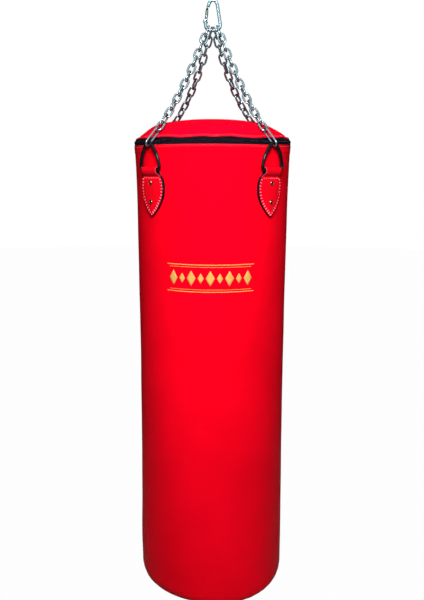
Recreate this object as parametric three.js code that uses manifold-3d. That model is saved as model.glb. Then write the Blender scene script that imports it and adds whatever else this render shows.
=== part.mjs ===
// Hanging heavy bag: a red cylindrical bag with a domed, zipped lid, four hanger tabs with D-rings,
// four chains and one spring-snap carabiner.
// Millimetres, +Z up. Origin: the carabiner's inner top, where the support hook seats. The bag's front faces -Y.
import * as THREE from 'three';
import { mergeVertices } from 'three/addons/utils/BufferGeometryUtils.js';
import Module from 'manifold-3d';

const wasm = await Module();
wasm.setup();

// ---------------------------------------------------------------- driving dimensions
const GAP = 0.3;                 // clearance between neighbouring pieces

// carabiner (80 x 8 size)
const CAR_WIRE_R = 4;            // rod radius
const CAR_INNER_H = 64;          // inner height, hook seat to bow seat
const CAR_BOW_R = 13;            // bow corner radius, centreline
const CAR_BOW_FLAT = 5.5;        // half length of the straight part of the bow
const GATE_HINGE = [-14.8, -18]; // x, z of the gate's pivot
const GATE_LATCH = [-17.5, -45.5];
const GATE_R = 3.8;
const GATE_TONGUE = 3.0;         // thickness of the hinge tongue and of the latch tongue
const NOSE_EYE = [-18.6, -46];
const NOSE_EYE_R = 6.5;
const PIVOT_R = 1.5;
const LATCH_R = 1.3;

// chain
const WIRE_R = 2.6;              // 5.2 mm chain wire
const PITCH = 22;                // inner length of a link
const LINK_W = 10.4;             // inner width of a link
const LONG_W = 11;                // inner width of the long link
const RUN_LINKS = 13;            // links of one fused run
const BITE = 0.3;                // interlock bite of the links inside one run
const CHAIN_SAG = 28;            // the front chains' vertical sag at mid chain
const CHAIN_SLACK = 245;         // the rear chains lie lower over the lid: see chainDrop
const SEAT_OUT = 13.6;           // x of the front chains' seats on the bow
const SEAT_IN = 4.6;             // x of the rear chains' seats on the bow
const SEAT_PLAY = [1.6, 0.6];    // play of the outer and inner top links on the bow
const LINK_PLAY = 0.5;           // play where a separate link meets the run
const CHAIN_FOOT = [216, 2];      // where the runs' curve heads: radius, and height over the rim
const RING_PLAY = 3.0;           // play of the long link on the D-ring's rounded top
const CONNECTOR_ROLL = 22;       // degrees that the front long links are turned out of the radial plane

// bag
const ZIP_Z = -352;              // lower edge of the zip band, rim of the shell
const BAG_H = 1200;              // rim to base
const WALL = 3;                  // shell thickness
const SHELL_PROFILE = [          // [depth under the rim, outer radius]
  [0, 200.9], [100, 198.0], [300, 196.2], [550, 195.1],
  [750, 195.8], [950, 197.6], [1100, 199.7], [1150, 199.6],
];
const BASE_R = 174.6;
const BASE_T = 4;
const LINER_GAP = 5.6;           // liner's outside under the shell's outside
const LINER_T = 15;
const SEGMENTS = 48;             // round bag parts

// D-rings and hanger tabs
const TAB_AZ = 45;               // degrees either side of front and back
const RING_WIRE_R = 4;
const RING_BAR_Z = -61;          // bar centre under the rim
const RING_APEX_Z = 4.2;         // apex wire centre over the rim
const RING_APEX_R = 211.5;       // apex wire centre from the bag's axis
const STRAP_T = 2.6;
const STRAP_W = 54;
const TAB_T = 8.2;               // hanger patch, outside face over the shell
const TAB_TOP = -76.5;           // patch top edge under the rim
const TAIL_BOTTOM = -128;        // lower end of the strap's tails
const RIVET_Z = [-92, -137];

// ---------------------------------------------------------------- helpers
const rad = THREE.MathUtils.degToRad;
const V = (x, y, z) => new THREE.Vector3(x, y, z);

function bare(geometry) {
  const g = geometry.index ? geometry.toNonIndexed() : geometry.clone();
  for (const name of Object.keys(g.attributes)) if (name !== 'position') g.deleteAttribute(name);
  return mergeVertices(g, 1e-4);
}

function signedVolume(g) {
  const p = g.attributes.position, ix = g.index;
  const a = V(0, 0, 0), b = V(0, 0, 0), c = V(0, 0, 0);
  let sum = 0;
  for (let i = 0; i < ix.count; i += 3) {
    a.fromBufferAttribute(p, ix.getX(i));
    b.fromBufferAttribute(p, ix.getX(i + 1));
    c.fromBufferAttribute(p, ix.getX(i + 2));
    sum += a.dot(b.cross(c)) / 6;
  }
  return sum;
}

function closed(geometry) {
  const g = bare(geometry);
  const src = Array.from(g.index.array), out = [];
  const flip = signedVolume(g) < 0;
  for (let i = 0; i < src.length; i += 3) {
    const [a, b, c] = [src[i], src[i + 1], src[i + 2]];
    if (a === b || b === c || a === c) continue;
    if (flip) out.push(a, c, b); else out.push(a, b, c);
  }
  g.setIndex(out);
  return g;
}

function solid(geometry) {
  const g = closed(geometry);
  return new wasm.Manifold(new wasm.Mesh({
    numProp: 3,
    vertProperties: new Float32Array(g.attributes.position.array),
    triVerts: new Uint32Array(g.index.array),
  }));
}

function back(manifold) {
  const m = manifold.getMesh();
  const g = new THREE.BufferGeometry();
  const n = m.vertProperties.length / m.numProp;
  const pos = new Float32Array(n * 3);
  for (let i = 0; i < n; i++) for (let k = 0; k < 3; k++) pos[i * 3 + k] = m.vertProperties[i * m.numProp + k];
  g.setAttribute('position', new THREE.BufferAttribute(pos, 3));
  g.setIndex(new THREE.BufferAttribute(new Uint32Array(m.triVerts), 1));
  return g;
}

function basis(x, y, z, origin = V(0, 0, 0)) {
  return new THREE.Matrix4().makeBasis(x, y, z).setPosition(origin);
}

// A closed tube: the topology of a torus, moved to `rings`, one [centre, side, up] frame for each step.
function ringTube(rings, r, sides, turn = 0) {
  const n = rings.length;
  const g = new THREE.TorusGeometry(10, 1, sides, n);
  const p = g.attributes.position;
  for (let j = 0; j <= sides; j++) {
    const v = (j % sides) / sides * Math.PI * 2 + turn;
    for (let i = 0; i <= n; i++) {
      const [c, side, up] = rings[i % n];
      const q = c.clone().addScaledVector(side, r * Math.cos(v)).addScaledVector(up, r * Math.sin(v));
      p.setXYZ(j * (n + 1) + i, q.x, q.y, q.z);
    }
  }
  return g;
}

// One oval chain link in its own frame: long axis X, width Y, thickness Z.
function linkGeometry(inner, width, r, sides, steps) {
  const rc = width / 2 + r;
  const half = inner / 2 - width / 2;
  const rings = [];
  for (const dir of [1, -1]) {
    for (let i = 0; i <= steps; i++) {
      const a = -Math.PI / 2 + Math.PI * i / steps + (dir < 0 ? Math.PI : 0);
      const side = V(Math.cos(a), Math.sin(a), 0);
      rings.push([V(dir * half + rc * Math.cos(a), rc * Math.sin(a), 0), side, V(0, 0, 1)]);
    }
  }
  return ringTube(rings, r, sides, sides === 4 ? 0 : Math.PI / sides);
}

function sectionShape(r, sides) {
  const pts = [];
  for (let i = 0; i < sides; i++) {
    const a = (i + 0.5) / sides * Math.PI * 2;
    pts.push(new THREE.Vector2(r * Math.cos(a), r * Math.sin(a)));
  }
  return new THREE.Shape(pts);
}

function rod(points, r, sides, steps, closedCurve = false) {
  const curve = new THREE.CatmullRomCurve3(points, closedCurve, 'centripetal');
  return new THREE.ExtrudeGeometry(sectionShape(r, sides), { steps, bevelEnabled: false, extrudePath: curve });
}

// A cylinder between two points.
function bar(a, b, r, sides = 12) {
  const g = new THREE.CylinderGeometry(r, r, a.distanceTo(b), sides);
  const dir = b.clone().sub(a).normalize();
  g.applyQuaternion(new THREE.Quaternion().setFromUnitVectors(V(0, 1, 0), dir));
  const mid = a.clone().add(b).multiplyScalar(0.5);
  g.translate(mid.x, mid.y, mid.z);
  return g;
}

function boxAt(x0, x1, y0, y1, z0, z1) {
  const g = new THREE.BoxGeometry(x1 - x0, y1 - y0, z1 - z0);
  g.translate((x0 + x1) / 2, (y0 + y1) / 2, (z0 + z1) / 2);
  return g;
}

// A lathe about Z. Profile points are [radius, z].
function turned(profile, segments = SEGMENTS) {
  const g = new THREE.LatheGeometry(profile.map(([r, z]) => new THREE.Vector2(r, z)), segments);
  g.rotateX(Math.PI / 2);
  return g;
}

const root = new THREE.Group();
const paint = {
  zinc: { color: 0xb9c6ca, roughness: 0.28, metalness: 0.95 },
  black_steel: { color: 0x17181b, roughness: 0.22, metalness: 0.85 },
  red: { color: 0xe0041c, roughness: 0.42, metalness: 0 },
  red_dark: { color: 0xc00418, roughness: 0.5, metalness: 0 },
  black_cloth: { color: 0x111218, roughness: 0.8, metalness: 0 },
  antique: { color: 0x3a2f22, roughness: 0.35, metalness: 0.9 },
  foam: { color: 0xd9d4c6, roughness: 0.95, metalness: 0 },
  rags: { color: 0x8d8577, roughness: 1, metalness: 0 },
  spring: { color: 0x8c9094, roughness: 0.35, metalness: 1 },
};
function put(name, geometry, look, group = root) {
  const g = closed(geometry);
  g.computeVertexNormals();
  const mesh = new THREE.Mesh(g, new THREE.MeshStandardMaterial(paint[look]));
  mesh.name = name;
  group.add(mesh);
  return mesh;
}

// ---------------------------------------------------------------- carabiner
const BOW_Z = -CAR_INNER_H - CAR_WIRE_R;         // bow centreline
const BOW_C = BOW_Z + CAR_BOW_R;                 // height of the bow's corner centres
function bowHeight(x) {                          // bow centreline height at x
  const d = Math.max(0, Math.abs(x) - CAR_BOW_FLAT);
  return BOW_C - Math.sqrt(CAR_BOW_R ** 2 - d ** 2);
}
{
  const [hx, hz] = GATE_HINGE;
  const [lx, lz] = GATE_LATCH;
  const pts = [[-13.0, -12.9], [-11.6, -8.8], [-10.2, -5.2], [-7.9, -0.6], [-4.4, 2.9], [0, CAR_WIRE_R], [4.4, 2.9],
    [7.9, -0.6], [10.2, -5.2], [12.3, -16], [14.3, -28], [16.3, -40]];
  for (let i = 0; i <= 6; i++) {
    const a = rad(4 - 94 * i / 6);
    pts.push([CAR_BOW_FLAT + CAR_BOW_R * Math.cos(a), BOW_C + CAR_BOW_R * Math.sin(a)]);
  }
  for (let i = 0; i <= 6; i++) {
    const a = rad(-90 - 86 * i / 6);
    pts.push([-CAR_BOW_FLAT + CAR_BOW_R * Math.cos(a), BOW_C + CAR_BOW_R * Math.sin(a)]);
  }
  pts.push([-18.7, -48.5]);
  let body = solid(rod(pts.map(([x, z]) => V(x, 0, z)), CAR_WIRE_R, 8, 36));

  // hinge tongue, narrower than the rod, so the gate's fork passes either side of it
  const t = GATE_TONGUE / 2;
  const armDir = V(-13.0 - hx, 0, -12.9 - hz).normalize();
  const armSide = V(armDir.z, 0, -armDir.x);
  const tongue = new THREE.BoxGeometry(8.5, 2 * t, 6.2);
  tongue.translate(3.6, 0, 0);
  tongue.applyMatrix4(basis(armDir, V(0, 1, 0), armDir.clone().cross(V(0, 1, 0)), V(hx, 0, hz)));
  const knuckle = bar(V(hx, -t, hz), V(hx, t, hz), 3.1, 16);
  body = body.add(solid(tongue)).add(solid(knuckle));
  body = body.subtract(solid(bar(V(hx, -6, hz), V(hx, 6, hz), PIVOT_R + GAP + 0.1, 12)));

  // nose: a round eye, slotted for the gate's tongue and notched for its cross rivet
  const [ex, ez] = NOSE_EYE;
  body = body.add(solid(bar(V(ex, -4.3, ez), V(ex, 4.3, ez), NOSE_EYE_R, 20)));
  body = body.subtract(solid(boxAt(ex - 3.6, 0, -(t + GAP), t + GAP, ez - 3.4, ez + 12)));
  body = body.subtract(solid(bar(V(lx, -6, lz), V(lx, 6, lz), LATCH_R + GAP + 0.1, 12)));
  body = body.subtract(solid(boxAt(lx, 0, -6, 6, lz - LATCH_R - GAP - 0.25, lz + LATCH_R + GAP)));
  put('carabiner_body', back(body), 'zinc');

  // gate, built along its own length: s from the hinge to the latch
  const H = V(hx, 0, hz), L = V(lx, 0, lz);
  const sDir = L.clone().sub(H).normalize();
  const len = L.distanceTo(H);
  const at = (s) => H.clone().addScaledVector(sDir, s);
  const tDir = sDir.clone().cross(V(0, 1, 0));
  const placeGate = (g) => g.applyMatrix4(basis(sDir, V(0, 1, 0), tDir, H));
  let gate = solid(bar(at(0), at(21.1), GATE_R, 12));
  gate = gate.add(solid(bar(V(hx, -GATE_R, hz), V(hx, GATE_R, hz), 3.4, 16)));
  const latchTongue = new THREE.BoxGeometry(len + 2.0 - 17, 2 * t, 5.2);
  latchTongue.translate((len + 2.0 + 17) / 2, 0, 0);
  gate = gate.add(solid(placeGate(latchTongue)));
  const fork = new THREE.BoxGeometry(5.2 + 6, 2 * (t + GAP), 12);
  fork.translate((5.2 - 6) / 2, 0, 0);
  gate = gate.subtract(solid(placeGate(fork)));
  gate = gate.subtract(solid(bar(V(hx, -6, hz), V(hx, 6, hz), PIVOT_R + GAP + 0.1, 12)));
  gate = gate.subtract(solid(bar(V(lx, -6, lz), V(lx, 6, lz), LATCH_R + GAP, 12)));
  gate = gate.subtract(solid(bar(at(4), at(15), 1.7, 10)));        // bore of the closing spring, open to the fork
  put('carabiner_gate', back(gate), 'zinc');
  put('gate_spring', bar(at(6.2), at(14.4), 1.25, 8), 'spring');

  const pin = (x, z, r, half) => {
    const g = turned([[0, -half - 0.8], [r + 0.6, -half - 0.5], [r + 0.6, -half], [r, -half], [r, half],
      [r + 0.6, half], [r + 0.6, half + 0.5], [0, half + 0.8]], 10);
    g.rotateX(Math.PI / 2);
    g.translate(x, 0, z);
    return g;
  };
  put('gate_pivot_pin', pin(hx, hz, PIVOT_R, GATE_R + GAP), 'zinc');
  put('gate_latch_pin', bar(V(lx, -4.1, lz), V(lx, 4.1, lz), LATCH_R, 10), 'zinc');
}

// ---------------------------------------------------------------- shell radius and tab frames
const shellR = (z) => {                           // z under the rim, negative
  const d = -z;
  for (let i = 1; i < SHELL_PROFILE.length; i++) {
    const [d0, r0] = SHELL_PROFILE[i - 1], [d1, r1] = SHELL_PROFILE[i];
    if (d <= d1) return r0 + (r1 - r0) * (Math.max(d, d0) - d0) / (d1 - d0);
  }
  return SHELL_PROFILE[SHELL_PROFILE.length - 1][1];
};
const tabs = [
  { name: 'front_left', az: -TAB_AZ, seat: -SEAT_OUT },
  { name: 'front_right', az: TAB_AZ, seat: SEAT_OUT },
  { name: 'rear_right', az: 180 - TAB_AZ, seat: SEAT_IN },
  { name: 'rear_left', az: 180 + TAB_AZ, seat: -SEAT_IN },
].map((t) => {                                    // azimuth 0 is the front, positive towards +X
  const a = rad(t.az);
  const out = V(Math.sin(a), -Math.cos(a), 0);
  const tan = V(Math.cos(a), Math.sin(a), 0);
  return { ...t, out, tan };
});
const RB = shellR(-57) + 0.5;                     // plane of the strap's rear face
const BAR_R = RB + STRAP_T + RING_WIRE_R + 0.5;   // bar centre from the axis

// ---------------------------------------------------------------- chains
const chainDrop = (u, front) => (front ? CHAIN_SAG * 4 * u : CHAIN_SLACK * u ** 1.6) * (1 - u);
const clearZones = [];                            // where the long links press into the lid
for (const tab of tabs) {
  const P0 = tab.out.clone().multiplyScalar(RING_APEX_R).setZ(ZIP_Z + RING_APEX_Z);
  const seat = V(tab.seat, 0, bowHeight(tab.seat));
  const foot = tab.out.clone().multiplyScalar(CHAIN_FOOT[0]).setZ(ZIP_Z + CHAIN_FOOT[1]);
  // route of the chain in its vertical plane, sagging under its own weight
  const front = Math.abs(tab.az) < 90;
  const route = (u) => foot.clone().lerp(seat, u).add(V(0, 0, -chainDrop(u, front)));
  const dirTop = route(1).sub(route(0.97)).normalize();
  // joints from the top down: the top link hangs over the bow's wire
  let p = seat.clone().addScaledVector(dirTop, CAR_WIRE_R + SEAT_PLAY[Math.abs(tab.seat) === SEAT_OUT ? 0 : 1]);
  const joints = [p.clone()];
  let u = 1;
  const step = (from, dist) => {                  // next joint at straight distance dist, following the route
    let lo = 0, hi = u;
    for (let k = 0; k < 50; k++) {
      const m = (lo + hi) / 2;
      if (route(m).distanceTo(from) > dist) lo = m; else hi = m;
    }
    u = (lo + hi) / 2;
    return from.clone().add(route(u).sub(from).setLength(dist));
  };
  const links = [];                               // [low joint, high joint] from the top down
  for (let i = 0; i <= RUN_LINKS; i++) {
    const low = step(p, PITCH);
    links.push([low, p]);
    // next link down: its upper inner face meets this link's lower inner face
    const d = p.clone().sub(low).normalize();
    const shift = i === 0 ? LINK_PLAY : -BITE;          // separate piece below the top link, then a fused run
    p = low.clone().addScaledVector(d, i === RUN_LINKS ? LINK_PLAY : shift);
    joints.push(p.clone());
  }
  // the long link takes what is left down to the ring's wire
  const dLong = p.clone().sub(P0).normalize();
  const low = P0.clone().addScaledVector(dLong, -(RING_WIRE_R + RING_PLAY));
  links.push([low, p]);
  const longInner = p.distanceTo(low);

  // link planes: the long link nearly radial, the top link square to the bow, a steady turn between
  const hTan = V(seat.x - P0.x, seat.y - P0.y, 0).normalize().cross(V(0, 0, 1));
  const frame = (d) => [hTan.clone(), d.clone().cross(hTan).normalize()];
  const bowT = (() => {
    const a = rad(Math.abs(tab.seat) === SEAT_OUT ? 38 : 12) * (tab.seat < 0 ? -1 : 1);
    return V(Math.cos(a), 0, Math.sin(a));
  })();
  const dFirst = links[0][1].clone().sub(links[0][0]).normalize();
  const [f1, f2] = frame(dFirst);
  const n15 = bowT.clone().addScaledVector(dFirst, -bowT.dot(dFirst)).normalize();
  let bTop = Math.atan2(n15.dot(f2), n15.dot(f1));
  const side = -Math.sign(tab.seat) * (front ? 1 : 0.5);
  const bLow = rad(CONNECTOR_ROLL) * side;
  while (bTop - bLow > Math.PI / 2) bTop -= Math.PI;
  while (bTop - bLow < -Math.PI / 2) bTop += Math.PI;
  const count = links.length;
  const placed = links.map(([a, b], i) => {
    const d = b.clone().sub(a).normalize();
    const [e1, e2] = frame(d);
    const beta = bTop + (bLow - bTop) * i / (count - 1) + i * Math.PI / 2;
    const n = e1.clone().multiplyScalar(Math.cos(beta)).addScaledVector(e2, Math.sin(beta));
    const w = n.clone().cross(d);
    return basis(d, w, n, a.clone().add(b).multiplyScalar(0.5));
  });
  put(`top_link_${tab.name}`, linkGeometry(PITCH, LINK_W, WIRE_R, 6, 4).applyMatrix4(placed[0]), 'zinc');
  let run = null;
  for (let i = 1; i <= RUN_LINKS; i++) {
    const one = solid(linkGeometry(PITCH, LINK_W, WIRE_R, 4, 4).applyMatrix4(placed[i]));
    run = run ? run.add(one) : one;
  }
  put(`chain_run_${tab.name}`, back(run), 'zinc');
  put(`chain_connector_${tab.name}`,
    linkGeometry(longInner, LONG_W, WIRE_R, 6, 4).applyMatrix4(placed[count - 1]), 'zinc');
  const outward = dLong.clone().cross(hTan).normalize();
  if (outward.dot(tab.out) < 0) outward.negate();
  clearZones.push({ origin: P0, d: dLong, t: hTan, h: outward, long: longInner, reach: front ? 10 : 26,
    deep: LONG_W / 2 + 2 * WIRE_R + (front ? 0.1 : 3.2) });
}

// ---------------------------------------------------------------- D-rings, straps, patches, rivets
const ringSlope = V(RING_APEX_R - BAR_R, 0, RING_APEX_Z - RING_BAR_Z);
const ringH = ringSlope.length();
ringSlope.normalize();
const RING_HALF = [[0, ringH], [5.6, ringH - 1.3], [10.6, ringH - 5.4], [15.6, ringH - 11.6], [21.5, ringH - 19.4],
  [26.6, ringH - 27.8], [30.6, ringH - 37.5], [33.2, ringH - 47.5], [34.4, 10.5], [33.6, 4.2], [31, 1], [27.6, 0]];
const LEAF = [[32.5, 0], [36.2, -8], [38.6, -18], [39.3, -28.5], [38.2, -41], [34.6, -53], [28.9, -64],
  [21.6, -75], [13.5, -84], [6, -91.5]];
const LEAF_TIP = -95.7;

const shellTool = (r0, r1, z0, z1, segments = 72) => {   // a ring that follows the shell between two heights
  const pts = [];
  const n = 2;
  for (let i = 0; i <= n; i++) { const z = z0 + (z1 - z0) * i / n; pts.push([shellR(z) + r0, ZIP_Z + z]); }
  for (let i = n; i >= 0; i--) { const z = z0 + (z1 - z0) * i / n; pts.push([shellR(z) + r1, ZIP_Z + z]); }
  pts.push(pts[0]);
  return solid(turned(pts, segments));
};
const rivetCut = [];
for (const tab of tabs) {
  const { out, tan } = tab;
  const local = (geometry) => geometry.applyMatrix4(basis(tan, V(0, 0, 1), out.clone(), V(0, 0, ZIP_Z)));
  // local frame: x along the shell, y up, z outward
  // D-ring
  const half = RING_HALF;
  const loop = [...half, ...half.slice(1).reverse().map(([a, b]) => [-a, b])];
  const pts = loop.map(([u, v]) => V(u, v, 0)), N = pts.length;
  const rings = pts.map((c, i) => {
    const before = c.clone().sub(pts[(i - 1 + N) % N]).normalize();
    const after = pts[(i + 1) % N].clone().sub(c).normalize();
    const tng = before.add(after).normalize();
    return [c, V(tng.y, -tng.x, 0), V(0, 0, 1)];
  });
  const ring = ringTube(rings, RING_WIRE_R, 6, Math.PI / 6);
  ring.applyMatrix4(basis(V(1, 0, 0), V(0, ringSlope.z, ringSlope.x), V(0, -ringSlope.x, ringSlope.z), V(0, RING_BAR_Z, BAR_R)));
  put(`d_ring_${tab.name}`, local(ring), 'black_steel');

  // strap: a loop round the bar, flat above the patch, its tails following the shell behind the patch
  const ro = RING_WIRE_R + 0.5 + STRAP_T, ri = RING_WIRE_R + 0.5;
  const prof = new THREE.Shape();
  prof.moveTo(RB, -77.5);
  prof.lineTo(RB, RING_BAR_Z);
  for (let i = 1; i <= 8; i++) {
    const a = Math.PI - Math.PI * i / 8;
    prof.lineTo(BAR_R + ro * Math.cos(a), RING_BAR_Z + ro * Math.sin(a));
  }
  prof.lineTo(BAR_R + ro - 1.4, RING_BAR_Z - 5);
  prof.lineTo(RB + 2 * STRAP_T, -74.5);
  prof.lineTo(RB + 2 * STRAP_T, -77.5);
  prof.closePath();
  const eye = new THREE.Path();
  eye.moveTo(BAR_R + ri, RING_BAR_Z);
  for (let i = 1; i <= 8; i++) {
    const a = Math.PI * i / 8;
    eye.lineTo(BAR_R + ri * Math.cos(a), RING_BAR_Z + ri * Math.sin(a));
  }
  eye.lineTo(BAR_R - ri + 0.2, RING_BAR_Z - 5);
  eye.lineTo(BAR_R - ri + 1.2, RING_BAR_Z - 8);
  eye.lineTo(BAR_R + ri - 2.4, RING_BAR_Z - 4.4);
  eye.closePath();
  prof.holes.push(eye);
  const strap = new THREE.ExtrudeGeometry(prof, { depth: STRAP_W, bevelEnabled: false });
  strap.translate(0, 0, -STRAP_W / 2);
  strap.applyMatrix4(basis(V(0, 0, 1), V(0, 1, 0), V(-1, 0, 0)));
  let strapSolid = solid(local(strap));
  // the loop is cut off at the patch's top edge, and the curved tails take over there
  const slab = (w, y0, y1) => solid(local(boxAt(-w / 2, w / 2, y0, y1, 150, 260)));
  const tails = shellTool(0.5, 0.5 + 2 * STRAP_T, TAIL_BOTTOM, -74.6).intersect(slab(STRAP_W, TAIL_BOTTOM - 2, -74.6));
  strapSolid = strapSolid.intersect(slab(STRAP_W + 10, TAB_TOP + GAP, 0)).add(tails);
  const rivetAt = (z) => shellR(z);
  for (const z of RIVET_Z) {
    const c = out.clone().multiplyScalar(rivetAt(z) - 12).setZ(ZIP_Z + z);
    const e = out.clone().multiplyScalar(rivetAt(z) + 16).setZ(ZIP_Z + z);
    rivetCut.push([c, e]);
  }
  strapSolid = strapSolid.subtract(solid(bar(...rivetCut[rivetCut.length - 2], 2.45, 8)));
  put(`hanger_strap_${tab.name}`, back(strapSolid), 'red');

  // patch: a leaf outline cut from a ring that follows the shell, with a pocket for the strap's tails
  const leaf = new THREE.Shape();
  leaf.moveTo(LEAF[0][0], TAB_TOP);
  for (const [u, v] of LEAF.slice(1)) leaf.lineTo(u, TAB_TOP + v);
  leaf.lineTo(0, TAB_TOP + LEAF_TIP);
  for (const [u, v] of [...LEAF].reverse()) leaf.lineTo(-u, TAB_TOP + v);
  leaf.closePath();
  const prism = new THREE.ExtrudeGeometry(leaf, { depth: 80, bevelEnabled: false });
  prism.translate(0, 0, 160);
  let patch = shellTool(0.45, TAB_T, TAB_TOP + LEAF_TIP - 4, TAB_TOP + 4).intersect(solid(local(prism)));
  const pocket = shellTool(0.1, 0.5 + 2 * STRAP_T + GAP, TAIL_BOTTOM - GAP, -70)
    .intersect(slab(STRAP_W + 2 * GAP, TAIL_BOTTOM - GAP, -70));
  patch = patch.subtract(pocket);
  for (const [a, b] of rivetCut.slice(-2)) patch = patch.subtract(solid(bar(a, b, 2.45, 8)));
  put(`hanger_patch_${tab.name}`, back(patch), 'red');

  // rivets
  RIVET_Z.forEach((z, i) => {
    const r = shellR(z);
    const cap = r + TAB_T + GAP + 0.25, burr = r - WALL - 0.8;
    const g = turned([[0, burr - 1.3], [4.4, burr - 1.3], [4.4, burr], [2, burr], [2, cap], [4.8, cap],
      [4.0, cap + 1.8], [0, cap + 2.8]], 8);
    g.applyMatrix4(basis(tan, V(0, 0, 1), out.clone()));
    g.translate(0, 0, ZIP_Z + z);
    put(`rivet_${tab.name}_${i === 0 ? 'upper' : 'lower'}`, g, 'antique');
  });
}

// ---------------------------------------------------------------- bag shell, base, liner, filling
{
  const outer = SHELL_PROFILE.map(([d, r]) => [r, ZIP_Z - d]);
  const base = ZIP_Z - BAG_H;
  const corner = [[198.9, base + 26], [195.9, base + 13.6], [187.6, base + 4.0], [BASE_R + GAP, base]];
  const cornerIn = [[BASE_R + GAP, base + WALL], [186.2, base + WALL + 3.9], [193.0, base + WALL + 12.4], [195.9, base + 27]];
  const inner = [];
  for (const d of [1100, 550, 100, 0]) inner.push([shellR(-d) - WALL, ZIP_Z - d]);
  const prof = [...outer, ...corner, ...cornerIn, ...inner];
  prof.push(prof[0]);
  let shell = solid(turned(prof));
  for (const [a, b] of rivetCut) shell = shell.subtract(solid(bar(a, b, 2.45, 8)));
  put('bag_shell', back(shell), 'red');

  put('base_panel', turned([[0, base], [BASE_R, base], [BASE_R, base + BASE_T], [0, base + BASE_T]], 48), 'red_dark');
  const lr = 195.1 - LINER_GAP;
  put('foam_liner', turned([[lr - LINER_T, base + 32], [lr, base + 32], [lr, ZIP_Z - 3], [lr - LINER_T, ZIP_Z - 3],
    [lr - LINER_T, base + 32]], 32), 'foam');
  const fr = lr - LINER_T - 0.8;
  put('filling', turned([[0, base + 5], [152, base + 5], [fr, base + 26], [fr, ZIP_Z - 4], [fr - 30, ZIP_Z + 0.5],
    [0, ZIP_Z + 1]], 32), 'rags');
}

// ---------------------------------------------------------------- lid and zip, pressed in where the long links lie
const COLS = [];                                  // column azimuths: closer together where the links press in
for (const tab of [...tabs].sort((a, b) => ((a.az + 360) % 360) - ((b.az + 360) % 360))) {
  for (const o of [-45, -35, -25, -15, -8, -3.5, 0, 3.5, 8, 15, 25, 35]) COLS.push(tab.az + o);
}
const smooth = (x) => { const t = Math.min(1, Math.max(0, x)); return t * t * (3 - 2 * t); };
function pressed(P) {                             // how far a surface point is pushed in, as a vector
  const move = V(0, 0, 0);
  for (const zone of clearZones) {
    const v = P.clone().sub(zone.origin);
    const q = Math.abs(v.dot(zone.t)), h = v.dot(zone.h), s = v.dot(zone.d);
    if (v.length() > 140) continue;
    const w = (1 - smooth((q - 7.5) / 22)) * (1 - smooth((s - zone.long - zone.reach) / 26)) * smooth((s + 26) / 18);
    const deep = h + zone.deep;
    if (deep > 0 && w > 0) {                      // pushed straight in towards the axis
      const inward = V(-P.x, -P.y, 0).normalize();
      move.addScaledVector(inward, -deep * w / zone.h.dot(inward));
    }
  }
  return move;
}
function rimRing(outer, inner) {                  // outer and inner profiles of the same length, [radius, z]
  const pts = [...outer, ...[...inner].reverse()];
  const ring = [...pts, pts[0]];
  const g = new THREE.LatheGeometry(ring.map(([r, z]) => new THREE.Vector2(Math.max(r, 1e-3), z)), COLS.length);
  const p = g.attributes.position;
  const n = outer.length, np = ring.length;
  for (let c = 0; c <= COLS.length; c++) {
    const a = rad(COLS[c % COLS.length]);
    const dir = V(Math.sin(a), -Math.cos(a), 0);
    for (let k = 0; k < np; k++) {
      const kk = k === np - 1 ? 0 : k;
      const o = kk < n ? outer[kk] : outer[2 * n - 1 - kk];
      const [r, z] = ring[k];
      const P = dir.clone().multiplyScalar(r).setZ(ZIP_Z + z);
      const ref = dir.clone().multiplyScalar(o[0]).setZ(ZIP_Z + o[1]);
      P.add(pressed(ref));
      p.setXYZ(c * np + k, P.x, P.y, P.z);
    }
  }
  return g;
}
put('zip_tape_lower', rimRing([[200.9, 0.3], [200.7, 7.2]], [[199.2, 0.3], [199.0, 7.2]]), 'black_cloth');
put('zip_coil', rimRing([[201.6, 7.6], [202.1, 9.2], [201.4, 10.8]], [[199.2, 7.6], [199.3, 9.2], [198.9, 10.8]]), 'black_cloth');
put('zip_tape_upper', rimRing([[200.4, 11.2], [195.6, 18.0]], [[198.7, 11.2], [193.9, 17.6]]), 'black_cloth');
{
  const outer = [[195.1, 18.5], [188, 24.6], [173, 37.6], [157, 48.2], [141, 55.4], [110, 61.6], [75, 65.6], [0, 67.6]];
  const inner = [[193.2, 17.9], [186.4, 22.8], [171.5, 35.7], [155.8, 46.1], [140.1, 53.2], [109.6, 59.2], [74.8, 63.2], [0, 65.2]];
  // the lid is a cap: the profile starts and ends on the axis
  const pts = [...[...outer].reverse(), ...inner];
  const g = new THREE.LatheGeometry(pts.map(([r, z]) => new THREE.Vector2(r, z)), COLS.length);
  const p = g.attributes.position;
  const np = pts.length, n = outer.length;
  for (let c = 0; c <= COLS.length; c++) {
    const a = rad(COLS[c % COLS.length]);
    const dir = V(Math.sin(a), -Math.cos(a), 0);
    for (let k = 0; k < np; k++) {
      const [r, z] = pts[k];
      const o = k < n ? pts[k] : outer[k - n];
      const P = dir.clone().multiplyScalar(r).setZ(ZIP_Z + z);
      P.add(pressed(dir.clone().multiplyScalar(o[0]).setZ(ZIP_Z + o[1])));
      p.setXYZ(c * np + k, P.x, P.y, P.z);
    }
  }
  put('lid_cover', g, 'red');
  put('top_pad', turned([[0, ZIP_Z + 2.5], [170, ZIP_Z + 2.5], [170, ZIP_Z + 24], [150, ZIP_Z + 42], [120, ZIP_Z + 53],
    [75, ZIP_Z + 59.5], [0, ZIP_Z + 62]], 32), 'foam');
}

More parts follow.
